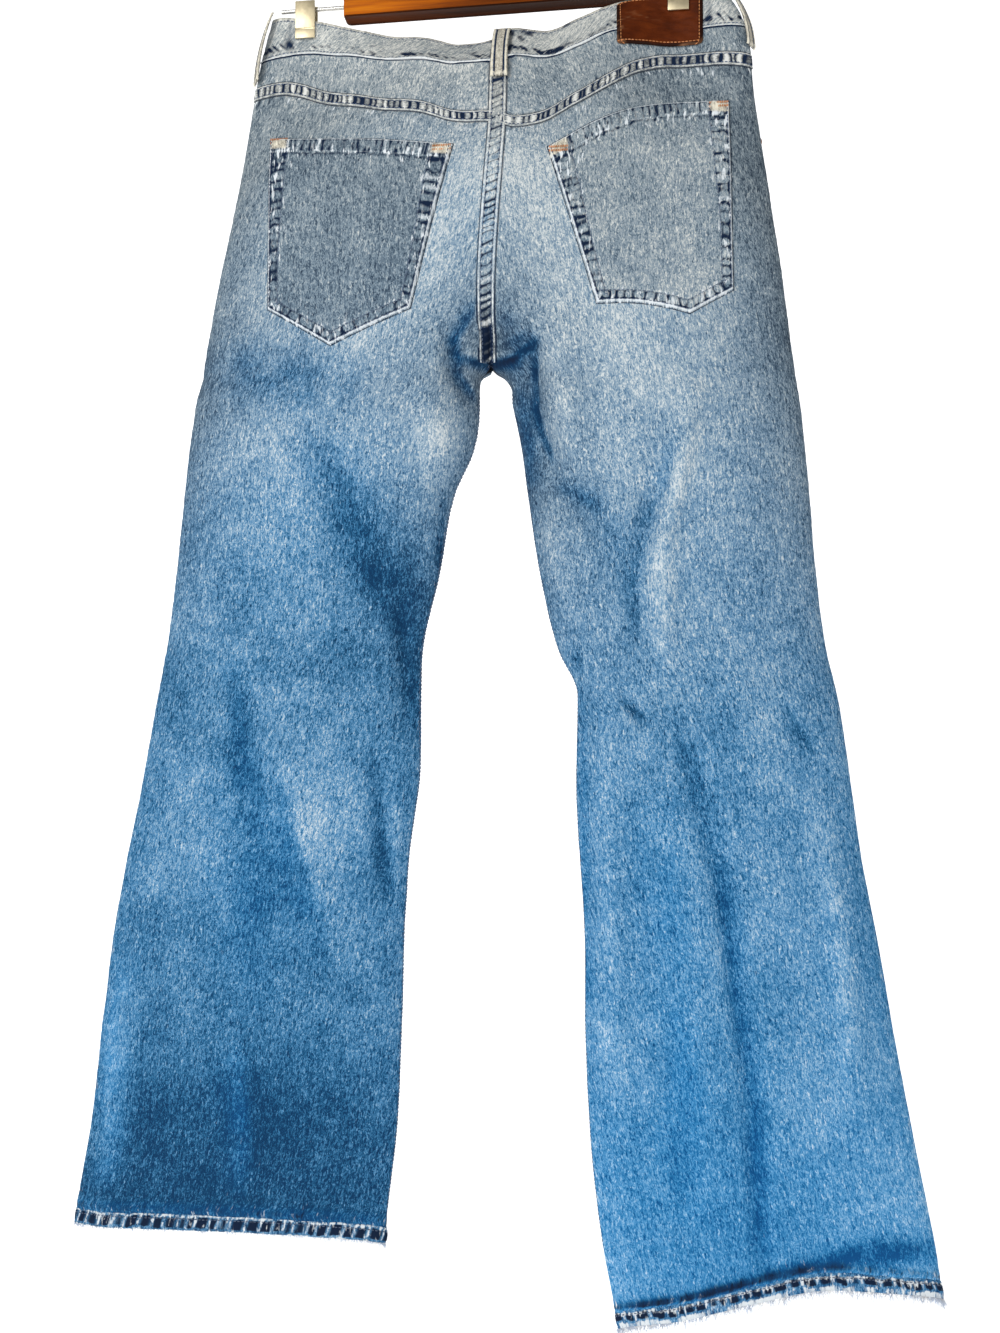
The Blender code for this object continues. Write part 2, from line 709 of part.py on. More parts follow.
def build_fasteners(collection, finishes):
    """Waist button and the rivets at the ends of the front pocket openings."""
    point, normal = surface_frame(RIGHT, FRONT, 0.985, BAND_HEIGHT * 0.48)
    disc("waist_button", point + normal * 0.9, normal, 8.5, 3.2, collection, finishes["copper"], 28)
    for side in (LEFT, RIGHT):
        for place, across, level in (("inner", SCOOP_ACROSS + 0.025, -7.0), ("outer", 0.10, -SCOOP_DROP - 8.0)):
            point, normal = surface_frame(side, FRONT, across, level)
            name = "rivet_" + SIDE_NAME[side] + "_" + place
            disc(name, point + normal * 0.7, normal, 4.4, 1.4, collection, finishes["copper"], 16)


def box(name, centre, size, collection, finish, bevel=0.0, segments=2):
    """Rounded block from a cube."""
    work = bmesh.new()
    bmesh.ops.create_cube(work, size=1.0)
    place = Vector((np.asarray(centre, dtype=float) - HOOK_SEAT) * MM)
    work.transform(Matrix.Translation(place) @ Matrix.Diagonal((*[s * MM for s in size], 1.0)))
    mesh = bpy.data.meshes.new(name)
    work.to_mesh(mesh)
    work.free()
    piece = add_object(name, mesh, collection, finish)
    if bevel:
        edge = piece.modifiers.new("rounded edges", "BEVEL")
        edge.width = bevel * MM
        edge.segments = segments
    return piece


def rod(name, x_start, x_end, z, radius, collection, finish):
    """Straight steel rod along X."""
    work = bmesh.new()
    bmesh.ops.create_cone(work, cap_ends=True, segments=16, radius1=radius * MM, radius2=radius * MM,
                          depth=abs(x_end - x_start) * MM)
    middle = Vector((np.array([(x_start + x_end) / 2, 0.0, z]) - HOOK_SEAT) * MM)
    work.transform(Matrix.Translation(middle) @ Matrix.Rotation(math.pi / 2, 4, "Y"))
    mesh = bpy.data.meshes.new(name)
    work.to_mesh(mesh)
    work.free()
    return add_object(name, mesh, collection, finish)


def hook_path():
    """The hook's centre line: a stem, an easy bend and an arc over the rail."""
    radius = HOOK_INNER_RADIUS + HOOK_WIRE
    centre_x, centre_z = HOOK_SEAT[0], HOOK_SEAT[2] - HOOK_INNER_RADIUS
    stem_bottom = BAR_Z + BAR_HEIGHT / 2 + SEAM_GAP
    stem_top = centre_z - radius - 14.0
    start = math.radians(-55.0)
    arc_start = np.array([centre_x + radius * math.cos(start), centre_z + radius * math.sin(start)])
    stem_end = np.array([centre_x, stem_top])
    path = [np.array([centre_x, z]) for z in np.linspace(stem_bottom, stem_top, 4)[:-1]]
    pull = 11.0
    heading = np.array([-math.sin(start), math.cos(start)])
    controls = [stem_end, stem_end + [0.0, pull], arc_start - heading * pull, arc_start]
    for t in np.linspace(0.0, 1.0, 8)[:-1]:
        weights = [(1 - t) ** 3, 3 * t * (1 - t) ** 2, 3 * t ** 2 * (1 - t), t ** 3]
        path.append(sum(weight * control for weight, control in zip(weights, controls)))
    for angle in np.linspace(start, math.radians(200.0), 26):
        path.append(np.array([centre_x + radius * math.cos(angle), centre_z + radius * math.sin(angle)]))
    return path


def build_hook(collection, finishes):
    """Steel hook bent from one wire."""
    path = hook_path()
    curve = bpy.data.curves.new("hanger_hook", "CURVE")
    curve.dimensions = "3D"
    curve.bevel_depth = HOOK_WIRE * MM
    curve.bevel_resolution = 2
    curve.use_fill_caps = True
    spline = curve.splines.new("POLY")
    spline.points.add(len(path) - 1)
    for point, (x, z) in zip(spline.points, path):
        place = (np.array([x, 0.0, z]) - HOOK_SEAT) * MM
        point.co = (*place, 1.0)
    hook = bpy.data.objects.new("hanger_hook", curve)
    curve.materials.append(finishes["steel"])
    collection.objects.link(hook)


def clip_seat(clip_x, face):
    """How far out the cloth stands where a clip's jaw lies on it."""
    side = LEFT if clip_x < 0 else RIGHT
    across = np.linspace(0.15, 0.75, 61)
    levels = np.linspace(20.0, BAND_HEIGHT, 7)
    points = form(side, face, across[:, None], levels[None, :] + 0 * across[:, None], gap=0.0)
    near = (np.abs(points[..., 0] - clip_x) < CLIP_WIDTH / 2 + 2) & (points[..., 2] > CLIP_BOTTOM - 2)
    return (points[..., 1] * face)[near].max()


def build_clips(collection, finishes):
    """Two metal clips: a jaw plate on each side of the cloth and a saddle that rides on the rod."""
    for side in (LEFT, RIGHT):
        name = SIDE_NAME[side]
        clip_x = CLIP_X[side]
        for face, face_name in ((BACK, "back"), (FRONT, "front")):
            on_patch = PATCH_WALL + PATCH_GAP if side == RIGHT and face == BACK else 0.0
            inner = clip_seat(clip_x, face) + on_patch + SEAM_GAP
            centre = (clip_x, face * (inner + CLIP_WALL / 2), (CLIP_BOTTOM + CLIP_TOP) / 2)
            size = (CLIP_WIDTH, CLIP_WALL, CLIP_TOP - CLIP_BOTTOM)
            box("clip_jaw_" + face_name + "_" + name, centre, size, collection, finishes["clip_metal"], 0.4, 1)
        build_saddle(side, name, clip_x, collection, finishes)


def build_saddle(side, name, clip_x, collection, finishes):
    """Block between the jaws with a bore for the rod."""
    back_face = clip_seat(clip_x, BACK) + (PATCH_WALL + PATCH_GAP if side == RIGHT else 0.0)
    front_face = clip_seat(clip_x, FRONT)
    depth = back_face + front_face
    centre = (clip_x, (front_face - back_face) / 2, BAR_Z)
    saddle = box("clip_saddle_" + name, centre, (CLIP_WIDTH - 3.0, depth, 9.0), collection,
                 finishes["clip_metal"])
    bore = rod("bore_" + name, clip_x - CLIP_WIDTH, clip_x + CLIP_WIDTH, BAR_Z, ROD_RADIUS + SEAM_GAP,
               collection, finishes["steel"])
    bore.hide_render = True
    bore.display_type = "WIRE"
    cut = saddle.modifiers.new("rod bore", "BOOLEAN")
    cut.operation = "DIFFERENCE"
    cut.object = bore


def build_hanger(collection, finishes):
    """Wooden bar, the rods in its ends, the hook and the clips."""
    middle = HOOK_SEAT[0]
    half_bar = BAR_LENGTH / 2
    box("hanger_bar", (middle, 0.0, BAR_Z), (BAR_LENGTH, BAR_DEPTH, BAR_HEIGHT), collection,
        finishes["wood"], 2.5, 3)
    for side in (LEFT, RIGHT):
        start = middle + side * (half_bar + SEAM_GAP)
        end = CLIP_X[side] + side * ROD_OVERHANG
        rod("hanger_rod_" + SIDE_NAME[side], start, end, BAR_Z, ROD_RADIUS, collection, finishes["steel"])
    build_hook(collection, finishes)
    build_clips(collection, finishes)


def main():
    """Build every piece into one collection."""
    clear_scene()
    collection = bpy.data.collections.new("bootcut jeans on a clip hanger")
    bpy.context.scene.collection.children.link(collection)
    finishes = make_finishes()
    build_panels(collection, finishes)
    build_hems(collection, finishes)
    build_waistband(collection, finishes)
    build_back_pockets(collection, finishes)
    build_patch(collection, finishes)
    build_loops(collection, finishes)
    build_fasteners(collection, finishes)
    build_hanger(collection, finishes)


main()
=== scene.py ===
"""Bootcut jeans on a clip hanger: worn denim, seams, stitches, frayed hems, leather, wood and metal.

Lengths are millimetres in the garment's own layout, as the jeans are cut: x across, y through and z up
from the centre-back waist seam. The back faces -Y. Points are moved to the hook's seat, in metres, last.
"""
import json
import math

import bpy
import numpy as np
from mathutils import Matrix, Vector
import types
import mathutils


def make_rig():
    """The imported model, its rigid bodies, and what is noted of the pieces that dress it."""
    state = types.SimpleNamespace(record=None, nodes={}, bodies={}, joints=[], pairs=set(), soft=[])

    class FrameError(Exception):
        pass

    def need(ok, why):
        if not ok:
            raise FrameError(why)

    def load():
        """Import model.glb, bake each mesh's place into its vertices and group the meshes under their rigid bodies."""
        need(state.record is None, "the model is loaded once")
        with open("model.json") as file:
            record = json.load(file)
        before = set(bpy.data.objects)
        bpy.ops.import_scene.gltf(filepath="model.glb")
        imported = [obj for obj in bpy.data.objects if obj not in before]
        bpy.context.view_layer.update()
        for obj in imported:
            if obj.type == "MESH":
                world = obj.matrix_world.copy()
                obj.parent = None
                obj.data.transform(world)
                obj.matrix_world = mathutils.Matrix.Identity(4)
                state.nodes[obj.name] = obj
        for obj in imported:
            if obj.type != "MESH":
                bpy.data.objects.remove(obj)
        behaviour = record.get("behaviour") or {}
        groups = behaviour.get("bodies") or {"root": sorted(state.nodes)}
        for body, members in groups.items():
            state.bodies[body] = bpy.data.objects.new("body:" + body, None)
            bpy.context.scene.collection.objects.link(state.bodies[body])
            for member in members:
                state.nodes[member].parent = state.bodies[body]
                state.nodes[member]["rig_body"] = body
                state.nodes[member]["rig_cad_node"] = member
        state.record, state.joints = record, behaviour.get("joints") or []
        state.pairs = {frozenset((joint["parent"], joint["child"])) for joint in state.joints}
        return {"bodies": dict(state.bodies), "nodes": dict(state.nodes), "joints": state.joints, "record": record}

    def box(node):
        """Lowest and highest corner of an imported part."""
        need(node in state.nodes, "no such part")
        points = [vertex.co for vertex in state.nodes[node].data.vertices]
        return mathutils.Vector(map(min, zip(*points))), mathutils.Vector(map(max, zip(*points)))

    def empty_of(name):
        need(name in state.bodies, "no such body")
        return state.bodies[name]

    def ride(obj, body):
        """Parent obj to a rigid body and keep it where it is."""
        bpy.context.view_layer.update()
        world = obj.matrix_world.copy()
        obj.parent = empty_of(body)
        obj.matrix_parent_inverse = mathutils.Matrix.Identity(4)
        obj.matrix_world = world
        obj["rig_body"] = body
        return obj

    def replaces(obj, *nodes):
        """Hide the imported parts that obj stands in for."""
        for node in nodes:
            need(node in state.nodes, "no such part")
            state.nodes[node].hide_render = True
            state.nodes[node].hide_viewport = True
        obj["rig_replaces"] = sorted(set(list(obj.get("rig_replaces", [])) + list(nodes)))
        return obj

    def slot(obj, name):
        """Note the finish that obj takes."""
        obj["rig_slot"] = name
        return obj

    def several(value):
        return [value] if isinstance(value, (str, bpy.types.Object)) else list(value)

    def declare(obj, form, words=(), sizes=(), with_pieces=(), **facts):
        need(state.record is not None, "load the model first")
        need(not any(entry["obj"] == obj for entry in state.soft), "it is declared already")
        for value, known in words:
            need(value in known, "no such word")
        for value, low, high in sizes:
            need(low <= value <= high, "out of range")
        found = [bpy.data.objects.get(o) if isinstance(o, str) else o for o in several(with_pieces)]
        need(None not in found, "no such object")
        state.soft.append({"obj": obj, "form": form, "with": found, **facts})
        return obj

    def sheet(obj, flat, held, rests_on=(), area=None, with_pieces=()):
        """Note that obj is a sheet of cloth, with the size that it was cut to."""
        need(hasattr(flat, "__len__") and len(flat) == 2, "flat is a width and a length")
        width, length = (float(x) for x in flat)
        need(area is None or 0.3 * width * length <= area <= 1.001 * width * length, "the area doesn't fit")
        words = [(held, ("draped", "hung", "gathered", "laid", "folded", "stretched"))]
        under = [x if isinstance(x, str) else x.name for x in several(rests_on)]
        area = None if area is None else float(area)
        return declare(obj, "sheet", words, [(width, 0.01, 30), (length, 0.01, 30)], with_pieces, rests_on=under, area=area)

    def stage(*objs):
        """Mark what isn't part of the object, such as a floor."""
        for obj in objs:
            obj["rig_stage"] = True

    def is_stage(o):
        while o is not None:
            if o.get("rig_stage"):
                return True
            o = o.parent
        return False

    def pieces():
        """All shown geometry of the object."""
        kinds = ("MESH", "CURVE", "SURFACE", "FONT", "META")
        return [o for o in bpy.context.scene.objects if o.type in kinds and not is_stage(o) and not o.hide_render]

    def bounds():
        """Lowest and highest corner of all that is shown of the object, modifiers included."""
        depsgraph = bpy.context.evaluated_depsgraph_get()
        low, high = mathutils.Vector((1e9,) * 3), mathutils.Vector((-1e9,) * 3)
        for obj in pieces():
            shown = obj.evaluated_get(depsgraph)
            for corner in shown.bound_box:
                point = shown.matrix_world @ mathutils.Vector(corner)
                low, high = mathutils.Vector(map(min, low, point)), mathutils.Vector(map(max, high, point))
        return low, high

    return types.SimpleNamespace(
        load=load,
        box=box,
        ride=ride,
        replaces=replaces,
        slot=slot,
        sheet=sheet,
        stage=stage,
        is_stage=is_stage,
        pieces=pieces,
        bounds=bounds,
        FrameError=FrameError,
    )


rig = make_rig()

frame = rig.load()
bpy.ops.object.select_all(action="DESELECT")
solid_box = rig.bounds()

MM = 0.001
HOOK_SEAT = np.array([-6.0, 0.0, 160.0])
BACK, FRONT = -1, 1
LEFT, RIGHT = -1, 1
SIDE_NAME = {LEFT: "left", RIGHT: "right"}

# Cloth, thread and seam sizes
CLOTH = 1.1
BAND_CLOTH = 1.9
POCKET_CLOTH = 1.0
PATCH_LEATHER = 1.1
LOOP_CLOTH = 1.3
FELL_WIDTH = 11.6
FELL_RISE = 0.9
STITCH_LENGTH = 2.5
STITCH_PITCH = 3.3
THREAD = 0.42
STITCH_LIFT = 0.1
TACK_LENGTH = 14.0
TACK_STITCHES = 11
CENTRE_LOOP_X = 6.0
BAND_ROWS = (2.6, 34.5)
SEAT_STRIP_ENDS = (-2.0, -258.0)
SEAT_STRIP_EDGES = (-8.6, 6.8)

# Levels, down from the waist seam
BAND_HEIGHT = 38.0
CROTCH_LEVEL = -262.0
SEAT_TURN_LEVEL = -196.0
LEG_BLEND_TOP = -120.0
THIGH_BLEND_TOP = -150.0
THIGH_BLEND_END = -350.0
HEM_LEVEL = -990.0
HEM_HEIGHT = 13.0
SAG_FADE = 150.0
CROTCH_GROOVE = 0.28
PINCH = 0.80
PINCH_ACROSS = 42.0
PINCH_FADE = 110.0
TOP_STANDOFF = 3.0
TOP_LEAN = {BACK: 5.0, FRONT: 2.5}
LEAN_REACH = 112.0
SIDE_LOOP_X = 184.0
SIDE_LOOP_REACH = 11.0
SIDE_LOOP_ROOM = 3.0
FOLD_END = 0.55
LEG_SWING_CURVE = 1.2
LEG_FORWARD = {LEFT: -9.0, RIGHT: -28.0}
LEG_YAW = {LEFT: 0.02, RIGHT: 0.09}

# Hanger
CLIP_X = {LEFT: -163.0, RIGHT: 151.0}

# Half outline of the jeans and how deep they stand off the middle plane.
# level, left outer, left inner, right inner, right outer, depth
OUTLINE = (
    (40, -193, 6, 6, 189, 20),
    (0, -203, 6, 6, 206, 22),
    (-50, -212, 6, 6, 212, 30),
    (-100, -222, 4, 4, 220, 38),
    (-150, -233, 1, 1, 228, 43),
    (-200, -243, -2, -2, 235, 44),
    (-250, -252, -3, -3, 241, 43),
    (-258, -253, -3, -3, 242, 42),
    (-265, -255, -11, 6, 243, 41),
    (-272, -257, -13, 12, 244, 40),
    (-290, -260, -13, 15, 247, 39),
    (-325, -265, -18, 22, 251, 36),
    (-360, -269, -33, 27, 254, 33),
    (-430, -276, -47, 38, 259, 29),
    (-495, -284, -61, 54, 267, 26),
    (-530, -291, -62, 69, 275, 25),
    (-600, -303, -63, 68, 285, 23),
    (-660, -315, -71, 71, 293, 22),
    (-720, -326, -75, 75, 304, 21),
    (-800, -336, -77, 76, 317, 20),
    (-900, -347, -82, 82, 335, 18),
    (-960, -357, -89, 90, 346, 17),
    (-1025, -363, -94, 103, 353, 16),
)

# How the waist seam and the band's top edge hang between the clips: x, seam height, top height
BACK_WAIST = (
    (-203, 12, 49),
    (-163, 17, 46),
    (-128, 9, 37),
    (-91, -2, 27),
    (-58, -5, 24),
    (-30, -11, 18),
    (0, -11, 22),
    (14, -8, 29),
    (44, -11, 24),
    (69, -3, 31),
    (98, 10, 40),
    (151, 14, 44),
    (206, 14, 47),
)
FRONT_WAIST = (
    (-203, 12, 49),
    (-163, 11, 46),
    (-120, -6, 33),
    (-70, -27, 11),
    (-30, -36, 2),
    (6, -39, -1),
    (45, -35, 3),
    (80, -24, 14),
    (120, -2, 34),
    (151, 10, 44),
    (206, 14, 47),
)
WAIST = {BACK: BACK_WAIST, FRONT: FRONT_WAIST}

# Yoke seam below the waist seam: x, level
YOKE_SEAM = (
    (-205, -23),
    (-184, -24),
    (-146, -34),
    (-99, -37),
    (-57, -40),
    (-20, -46),
    (0, -47),
    (20, -56),
    (37, -53),
    (56, -46),
    (99, -36),
    (122, -27),
    (145, -22),
    (208, -24),
)

# Lower edge of the hems, from the side seam (0) to the inseam (1): across, left height, right height
HEM_EDGE = (
    (0.00, -981, -995),
    (0.25, -978, -985),
    (0.40, -975, -981),
    (0.55, -974, -992),
    (0.70, -976, -1007),
    (0.85, -980, -1015),
    (1.00, -986, -1022),
)

# Folds the solids have too: face, x start, z start, x end, z end, half width, rise
FOLDS = (
    (BACK, -14, -238, 33, -246, 9, -7.0),
    (BACK, 33, -250, 34, -300, 9, -8.0),
    (BACK, 36, -300, 50, -348, 9, -6.0),
    (BACK, 58, -250, 66, -330, 16, 5.0),
    (BACK, 52, -362, 90, -400, 12, -4.0),
    (BACK, -26, -240, -30, -262, 8, -6.0),
    (BACK, -30, -262, -16, -290, 8, -5.0),
    (BACK, -52, -250, -44, -330, 16, 4.0),
    (BACK, 161, -294, 138, -410, 9, 4.0),
    (BACK, 138, -410, 139, -500, 10, 4.0),
    (BACK, 133, -345, 122, -410, 10, -3.0),
    (BACK, 108, -529, 122, -553, 5, -3.5),
    (BACK, 160, -560, 176, -650, 10, -3.0),
    (BACK, 176, -650, 200, -810, 8, -4.5),
    (BACK, 200, -810, 212, -960, 8, -5.5),
    (BACK, 268, -660, 285, -850, 14, 3.5),
    (BACK, 98, -650, 100, -860, 10, 3.5),
    (BACK, 146, -790, 148, -930, 16, -3.5),
    (BACK, -76, -455, -72, -560, 7, -4.0),
    (BACK, -90, -590, -90, -690, 8, -3.5),
    (BACK, -128, -345, -120, -440, 16, -4.0),
    (BACK, -206, -520, -200, -640, 14, -4.0),
    (BACK, -172, -625, -148, -720, 12, 3.0),
    (BACK, -310, -700, -325, -850, 9, -3.0),
    (BACK, -230, -130, -232, -250, 10, 3.0),
    (FRONT, 20, -205, 120, -170, 14, -5.0),
    (FRONT, -16, -215, -110, -185, 13, -4.5),
    (FRONT, 40, -262, 60, -380, 12, -6.0),
    (FRONT, -42, -270, -66, -370, 12, -5.5),
    (FRONT, 150, -300, 165, -520, 18, 4.0),
    (FRONT, -158, -320, -170, -500, 18, 4.0),
    (FRONT, 150, -560, 196, -760, 12, -4.0),
    (FRONT, 205, -760, 222, -950, 12, -4.5),
    (FRONT, -160, -560, -205, -740, 12, -3.5),
    (FRONT, -215, -760, -228, -950, 12, -4.0),
)

SCOOP_ACROSS = 0.66
SCOOP_DROP = 76.0

# Back pockets: top outer, top inner, bottom inner, point, bottom outer, each (x, z)
POCKET_CORNERS = {
    LEFT: ((-189, -62), (-31, -86), (-64, -219), (-130, -246), (-185, -212)),
    RIGHT: ((190, -54), (47, -93), (86, -221), (158, -230), (192, -210)),
}
POCKET_TOP_BOW = {LEFT: 0.5, RIGHT: 14.5}
POCKET_LOW_BOW = {LEFT: 0.5, RIGHT: 3.5}
POCKET_LIFT = 2.1
POCKET_HEM = 12.4
POCKET_SHADOW = 1.2

# Leather patch: middle, half size and corner radius
PATCH_X, PATCH_LEVEL = 136.0, 11.0
PATCH_HALF = (35.0, 25.0)
PATCH_CORNER = 4.0

# Fly stitching: x and level of its straight row's ends, and how far its curve reaches
FLY_X, FLY_TOP, FLY_TURN = -36.0, -44.0, -150.0
FLY_CURVE = (38.0, 34.0)

# Belt loops and the slot in a clip's plate
LOOP_LENGTH = 58.0
LOOP_HALF = 6.9
LOOP_RISE = 2.4
LOOP_STANDOFF = 1.6
SLOT_EDGES = (7.4, 8.6)
SLOT_DEPTH = 0.5

# Frayed yarn ends at the hems: the longest, and how many
FRAY = {LEFT: (4.0, 900), RIGHT: (8.5, 2000)}

# Studio, in metres: sweep size, floor level, and where the floor starts to turn up and is a wall
SWEEP_LENGTH, SWEEP_WIDTH = 12.0, 14.0
FLOOR_LEVEL = -1.25
TURN_START, TURN_END, TURN_RADIUS = 6.2, 7.8, 1.02
SWEEP_FRONT = -4.0
SKY_STRENGTH = 0.24
# name, place, size, watts
LAMPS = (
    ("key", (-1.1, -1.9, 0.6), 0.9, 33.0),
    ("fill", (0.9, -2.3, -0.5), 1.6, 9.0),
)
LIT_POINT = (0.0, 0.0, -0.65)
SENSOR = 36.0

# The camera of the photograph, in the garment's layout, in metres and degrees
PHOTO_WIDTH, PHOTO_HEIGHT = 1000, 1333
CAMERA_PLACE = np.array([0.1058, -0.8671, -0.5177])
CAMERA_YAW, CAMERA_PITCH, CAMERA_ROLL = -6.683, 0.724, 0.042
CAMERA_FOCAL = 1050.0


def smooth(value):
    """Ease from 0 to 1."""
    value = np.clip(value, 0.0, 1.0)
    return value * value * (3.0 - 2.0 * value)


def peak(value, width, centre=0.0):
    """Soft bump: 1 at the centre and almost 0 beyond twice the width."""
    return np.exp(-((value - centre) / width) ** 2)


def add(fields, **amounts):
    """Add to some of the cloth's fields."""
    for key, amount in amounts.items():
        fields[key] = fields[key] + amount


def along(rows, column, at):
    """Read one column of a table as a smooth curve over its first column."""
    table = np.array(rows, dtype=float)
    table = table[np.argsort(table[:, 0])]
    keys = table[:, 0]
    values = table[:, column]
    steps = np.diff(values) / np.diff(keys)
    slopes = np.gradient(values, keys)
    slopes[1:-1][steps[1:] * steps[:-1] <= 0] = 0.0
    at = np.clip(np.asarray(at, dtype=float), keys[0], keys[-1])
    left = np.clip(np.searchsorted(keys, at) - 1, 0, len(keys) - 2)
    span = keys[left + 1] - keys[left]
    t = (at - keys[left]) / span
    start = (1 + 2 * t) * (1 - t) ** 2 * values[left] + t * (1 - t) ** 2 * span * slopes[left]
    end = t ** 2 * (3 - 2 * t) * values[left + 1] - t ** 2 * (1 - t) * span * slopes[left + 1]
    return start + end


def outline(side, level):
    """Outer edge, inner edge and depth of one half at a level."""
    outer_column, inner_column = (1, 2) if side == LEFT else (4, 3)
    return along(OUTLINE, outer_column, level), along(OUTLINE, inner_column, level), along(OUTLINE, 5, level)


def way_in(across, level):
    """Share of the width reached at a place across: crowded at the side seam, and on a leg at both edges."""
    on_leg = smooth((LEG_BLEND_TOP - level) / (LEG_BLEND_TOP - CROTCH_LEVEL))
    return (1 - np.cos(across * math.pi / 2)) * (1 - on_leg) + (1 - np.cos(across * math.pi)) / 2 * on_leg


def across_at(share, level):
    """Place across where that share of the width is reached."""
    low = np.zeros(np.broadcast(share, level).shape)
    high = np.ones(low.shape)
    for _ in range(24):
        middle = (low + high) / 2
        short = way_in(middle, level) < share
        low = np.where(short, middle, low)
        high = np.where(short, high, middle)
    return (low + high) / 2


def section(share, level):
    """Depth over the width, 0 to 1: a quarter ellipse on the seat, half an ellipse on a leg."""
    on_leg = smooth((THIGH_BLEND_TOP - level) / (THIGH_BLEND_TOP - THIGH_BLEND_END))
    seat = np.sqrt(np.clip(1 - (1 - share) ** 2, 0.0, 1.0))
    leg = 2 * np.sqrt(np.clip(share * (1 - share), 0.0, 1.0))
    turned_in = np.clip((SEAT_TURN_LEVEL - level) / (SEAT_TURN_LEVEL - CROTCH_LEVEL), 0.0, 1.0)
    arch = np.sqrt(1 - turned_in ** 2)
    from_edge = np.clip((1 - share) / CROTCH_GROOVE, 0.0, 1.0)
    groove = 1 - (1 - arch) * (1 - np.sqrt(1 - (1 - from_edge) ** 2))
    return seat * (1 - on_leg) * groove + leg * on_leg


def strokes(rows, face, x, z):
    """Sum of soft strokes at a place. A row is face, start, end, half width and amount."""
    total = np.zeros(np.broadcast(x, z).shape)
    for stroke_face, x_start, z_start, x_end, z_end, half_width, amount in rows:
        if stroke_face != face:
            continue
        run_x, run_z = x_end - x_start, z_end - z_start
        share = ((x - x_start) * run_x + (z - z_start) * run_z) / (run_x ** 2 + run_z ** 2)
        share = np.clip(share, 0.0, 1.0)
        away = np.hypot(x - x_start - share * run_x, z - z_start - share * run_z)
        taper = FOLD_END + (1 - FOLD_END) * np.sin(math.pi * share)
        total = total + amount * peak(away, half_width) * taper
    return total


def clip_pinch(x, level):
    """How strongly the two clips press front and back together."""
    pressed = sum(peak(x, PINCH_ACROSS, clip_x) for clip_x in CLIP_X.values())
    return PINCH * np.clip(pressed, 0.0, 1.0) * smooth(1.0 + level / PINCH_FADE)


def form(side, face, across, level):
    """Point on the cloth's outside: across runs from the side seam (0) to the inner edge (1)."""
    across, level = np.broadcast_arrays(np.asarray(across, dtype=float), np.asarray(level, dtype=float))
    outer, inner, depth = outline(side, level)
    past_inner = across > 1
    on_leg = level <= CROTCH_LEVEL
    share = way_in(np.where(past_inner, 2 - across, np.abs(across)), level)
    x = outer - (outer - inner) * share
    x = np.where(past_inner & ~on_leg, 2 * inner - x, x)
    bulge = section(share, level)
    turned = np.where((across < 0) | (past_inner & on_leg), -1.0, 1.0)
    seam_z = along(WAIST[face], 1, x)
    top_z = along(WAIST[face], 2, x)
    rise = np.clip(level / BAND_HEIGHT, 0.0, 1.0)
    z = level + seam_z * smooth(1.0 + level / SAG_FADE)
    z = np.where(level > 0, seam_z + (top_z - seam_z) * rise, z)
    body = face * turned * depth * bulge * (1 - clip_pinch(x, level))
    lean = TOP_LEAN[face] * np.clip(1 - (x / LEAN_REACH) ** 2, 0.0, 1.0) ** 2
    side_loop = SIDE_LOOP_ROOM * peak(np.abs(x), SIDE_LOOP_REACH, SIDE_LOOP_X)
    edge = face * turned * (TOP_STANDOFF + side_loop) * np.tanh(3.0 * bulge) + lean
    y = body * (1 - rise) + edge * rise
    leg = np.clip((CROTCH_LEVEL - level) / (CROTCH_LEVEL - HEM_LEVEL), 0.0, 1.0) ** LEG_SWING_CURVE
    y = y + LEG_FORWARD[side] * leg + LEG_YAW[side] * (x - (outer + inner) / 2) * leg
    window = smooth(bulge / 0.55) * smooth(-level / 60.0)
    y = y + face * strokes(FOLDS, face, x, z) * window
    return np.stack([x, y, z], axis=-1)


def normals(side, face, across, level):
    """Unit normals of the cloth, pointing out."""
    across, level = np.broadcast_arrays(np.asarray(across, dtype=float), np.asarray(level, dtype=float))
    step = 0.004
    along_across = form(side, face, across + step, level) - form(side, face, across - step, level)
    along_level = form(side, face, across, level + 0.8) - form(side, face, across, level - 0.8)
    normal = np.cross(along_across, along_level) * face * side
    return normal / (np.linalg.norm(normal, axis=-1, keepdims=True) + 1e-12)


def locate(side, face, x, z):
    """Across and level of the place on a panel seen at x and z."""
    x = np.asarray(x, dtype=float)
    level = np.asarray(z, dtype=float).copy()
    for _ in range(8):
        level = z - along(WAIST[face], 1, x) * smooth(1.0 + level / SAG_FADE)
    outer, inner, _ = outline(side, level)
    return across_at(np.clip((outer - x) / (outer - inner), 0, 1), level), level


def yoke_level(side, across):
    """Yoke seam of one half over the places across."""
    x = form(side, BACK, across, np.full(np.shape(across), -40.0))[..., 0]
    return along(YOKE_SEAM, 1, x)


def strip_level(x):
    """Middle of the felled strip, which hangs a little below the yoke seam."""
    return along(YOKE_SEAM, 1, x) - 4.0 - 3.5 * peak(x, 60.0)


def hem_level(side, across):
    """Lower edge of a leg's hem over the places across."""
    return along(HEM_EDGE, 1 if side == LEFT else 2, across)


def scoop_level(across):
    """Edge of the front pocket's opening."""
    reach = np.clip(np.asarray(across) / SCOOP_ACROSS, 0.0, 1.0)
    return -SCOOP_DROP * np.sqrt(1 - reach ** 2)


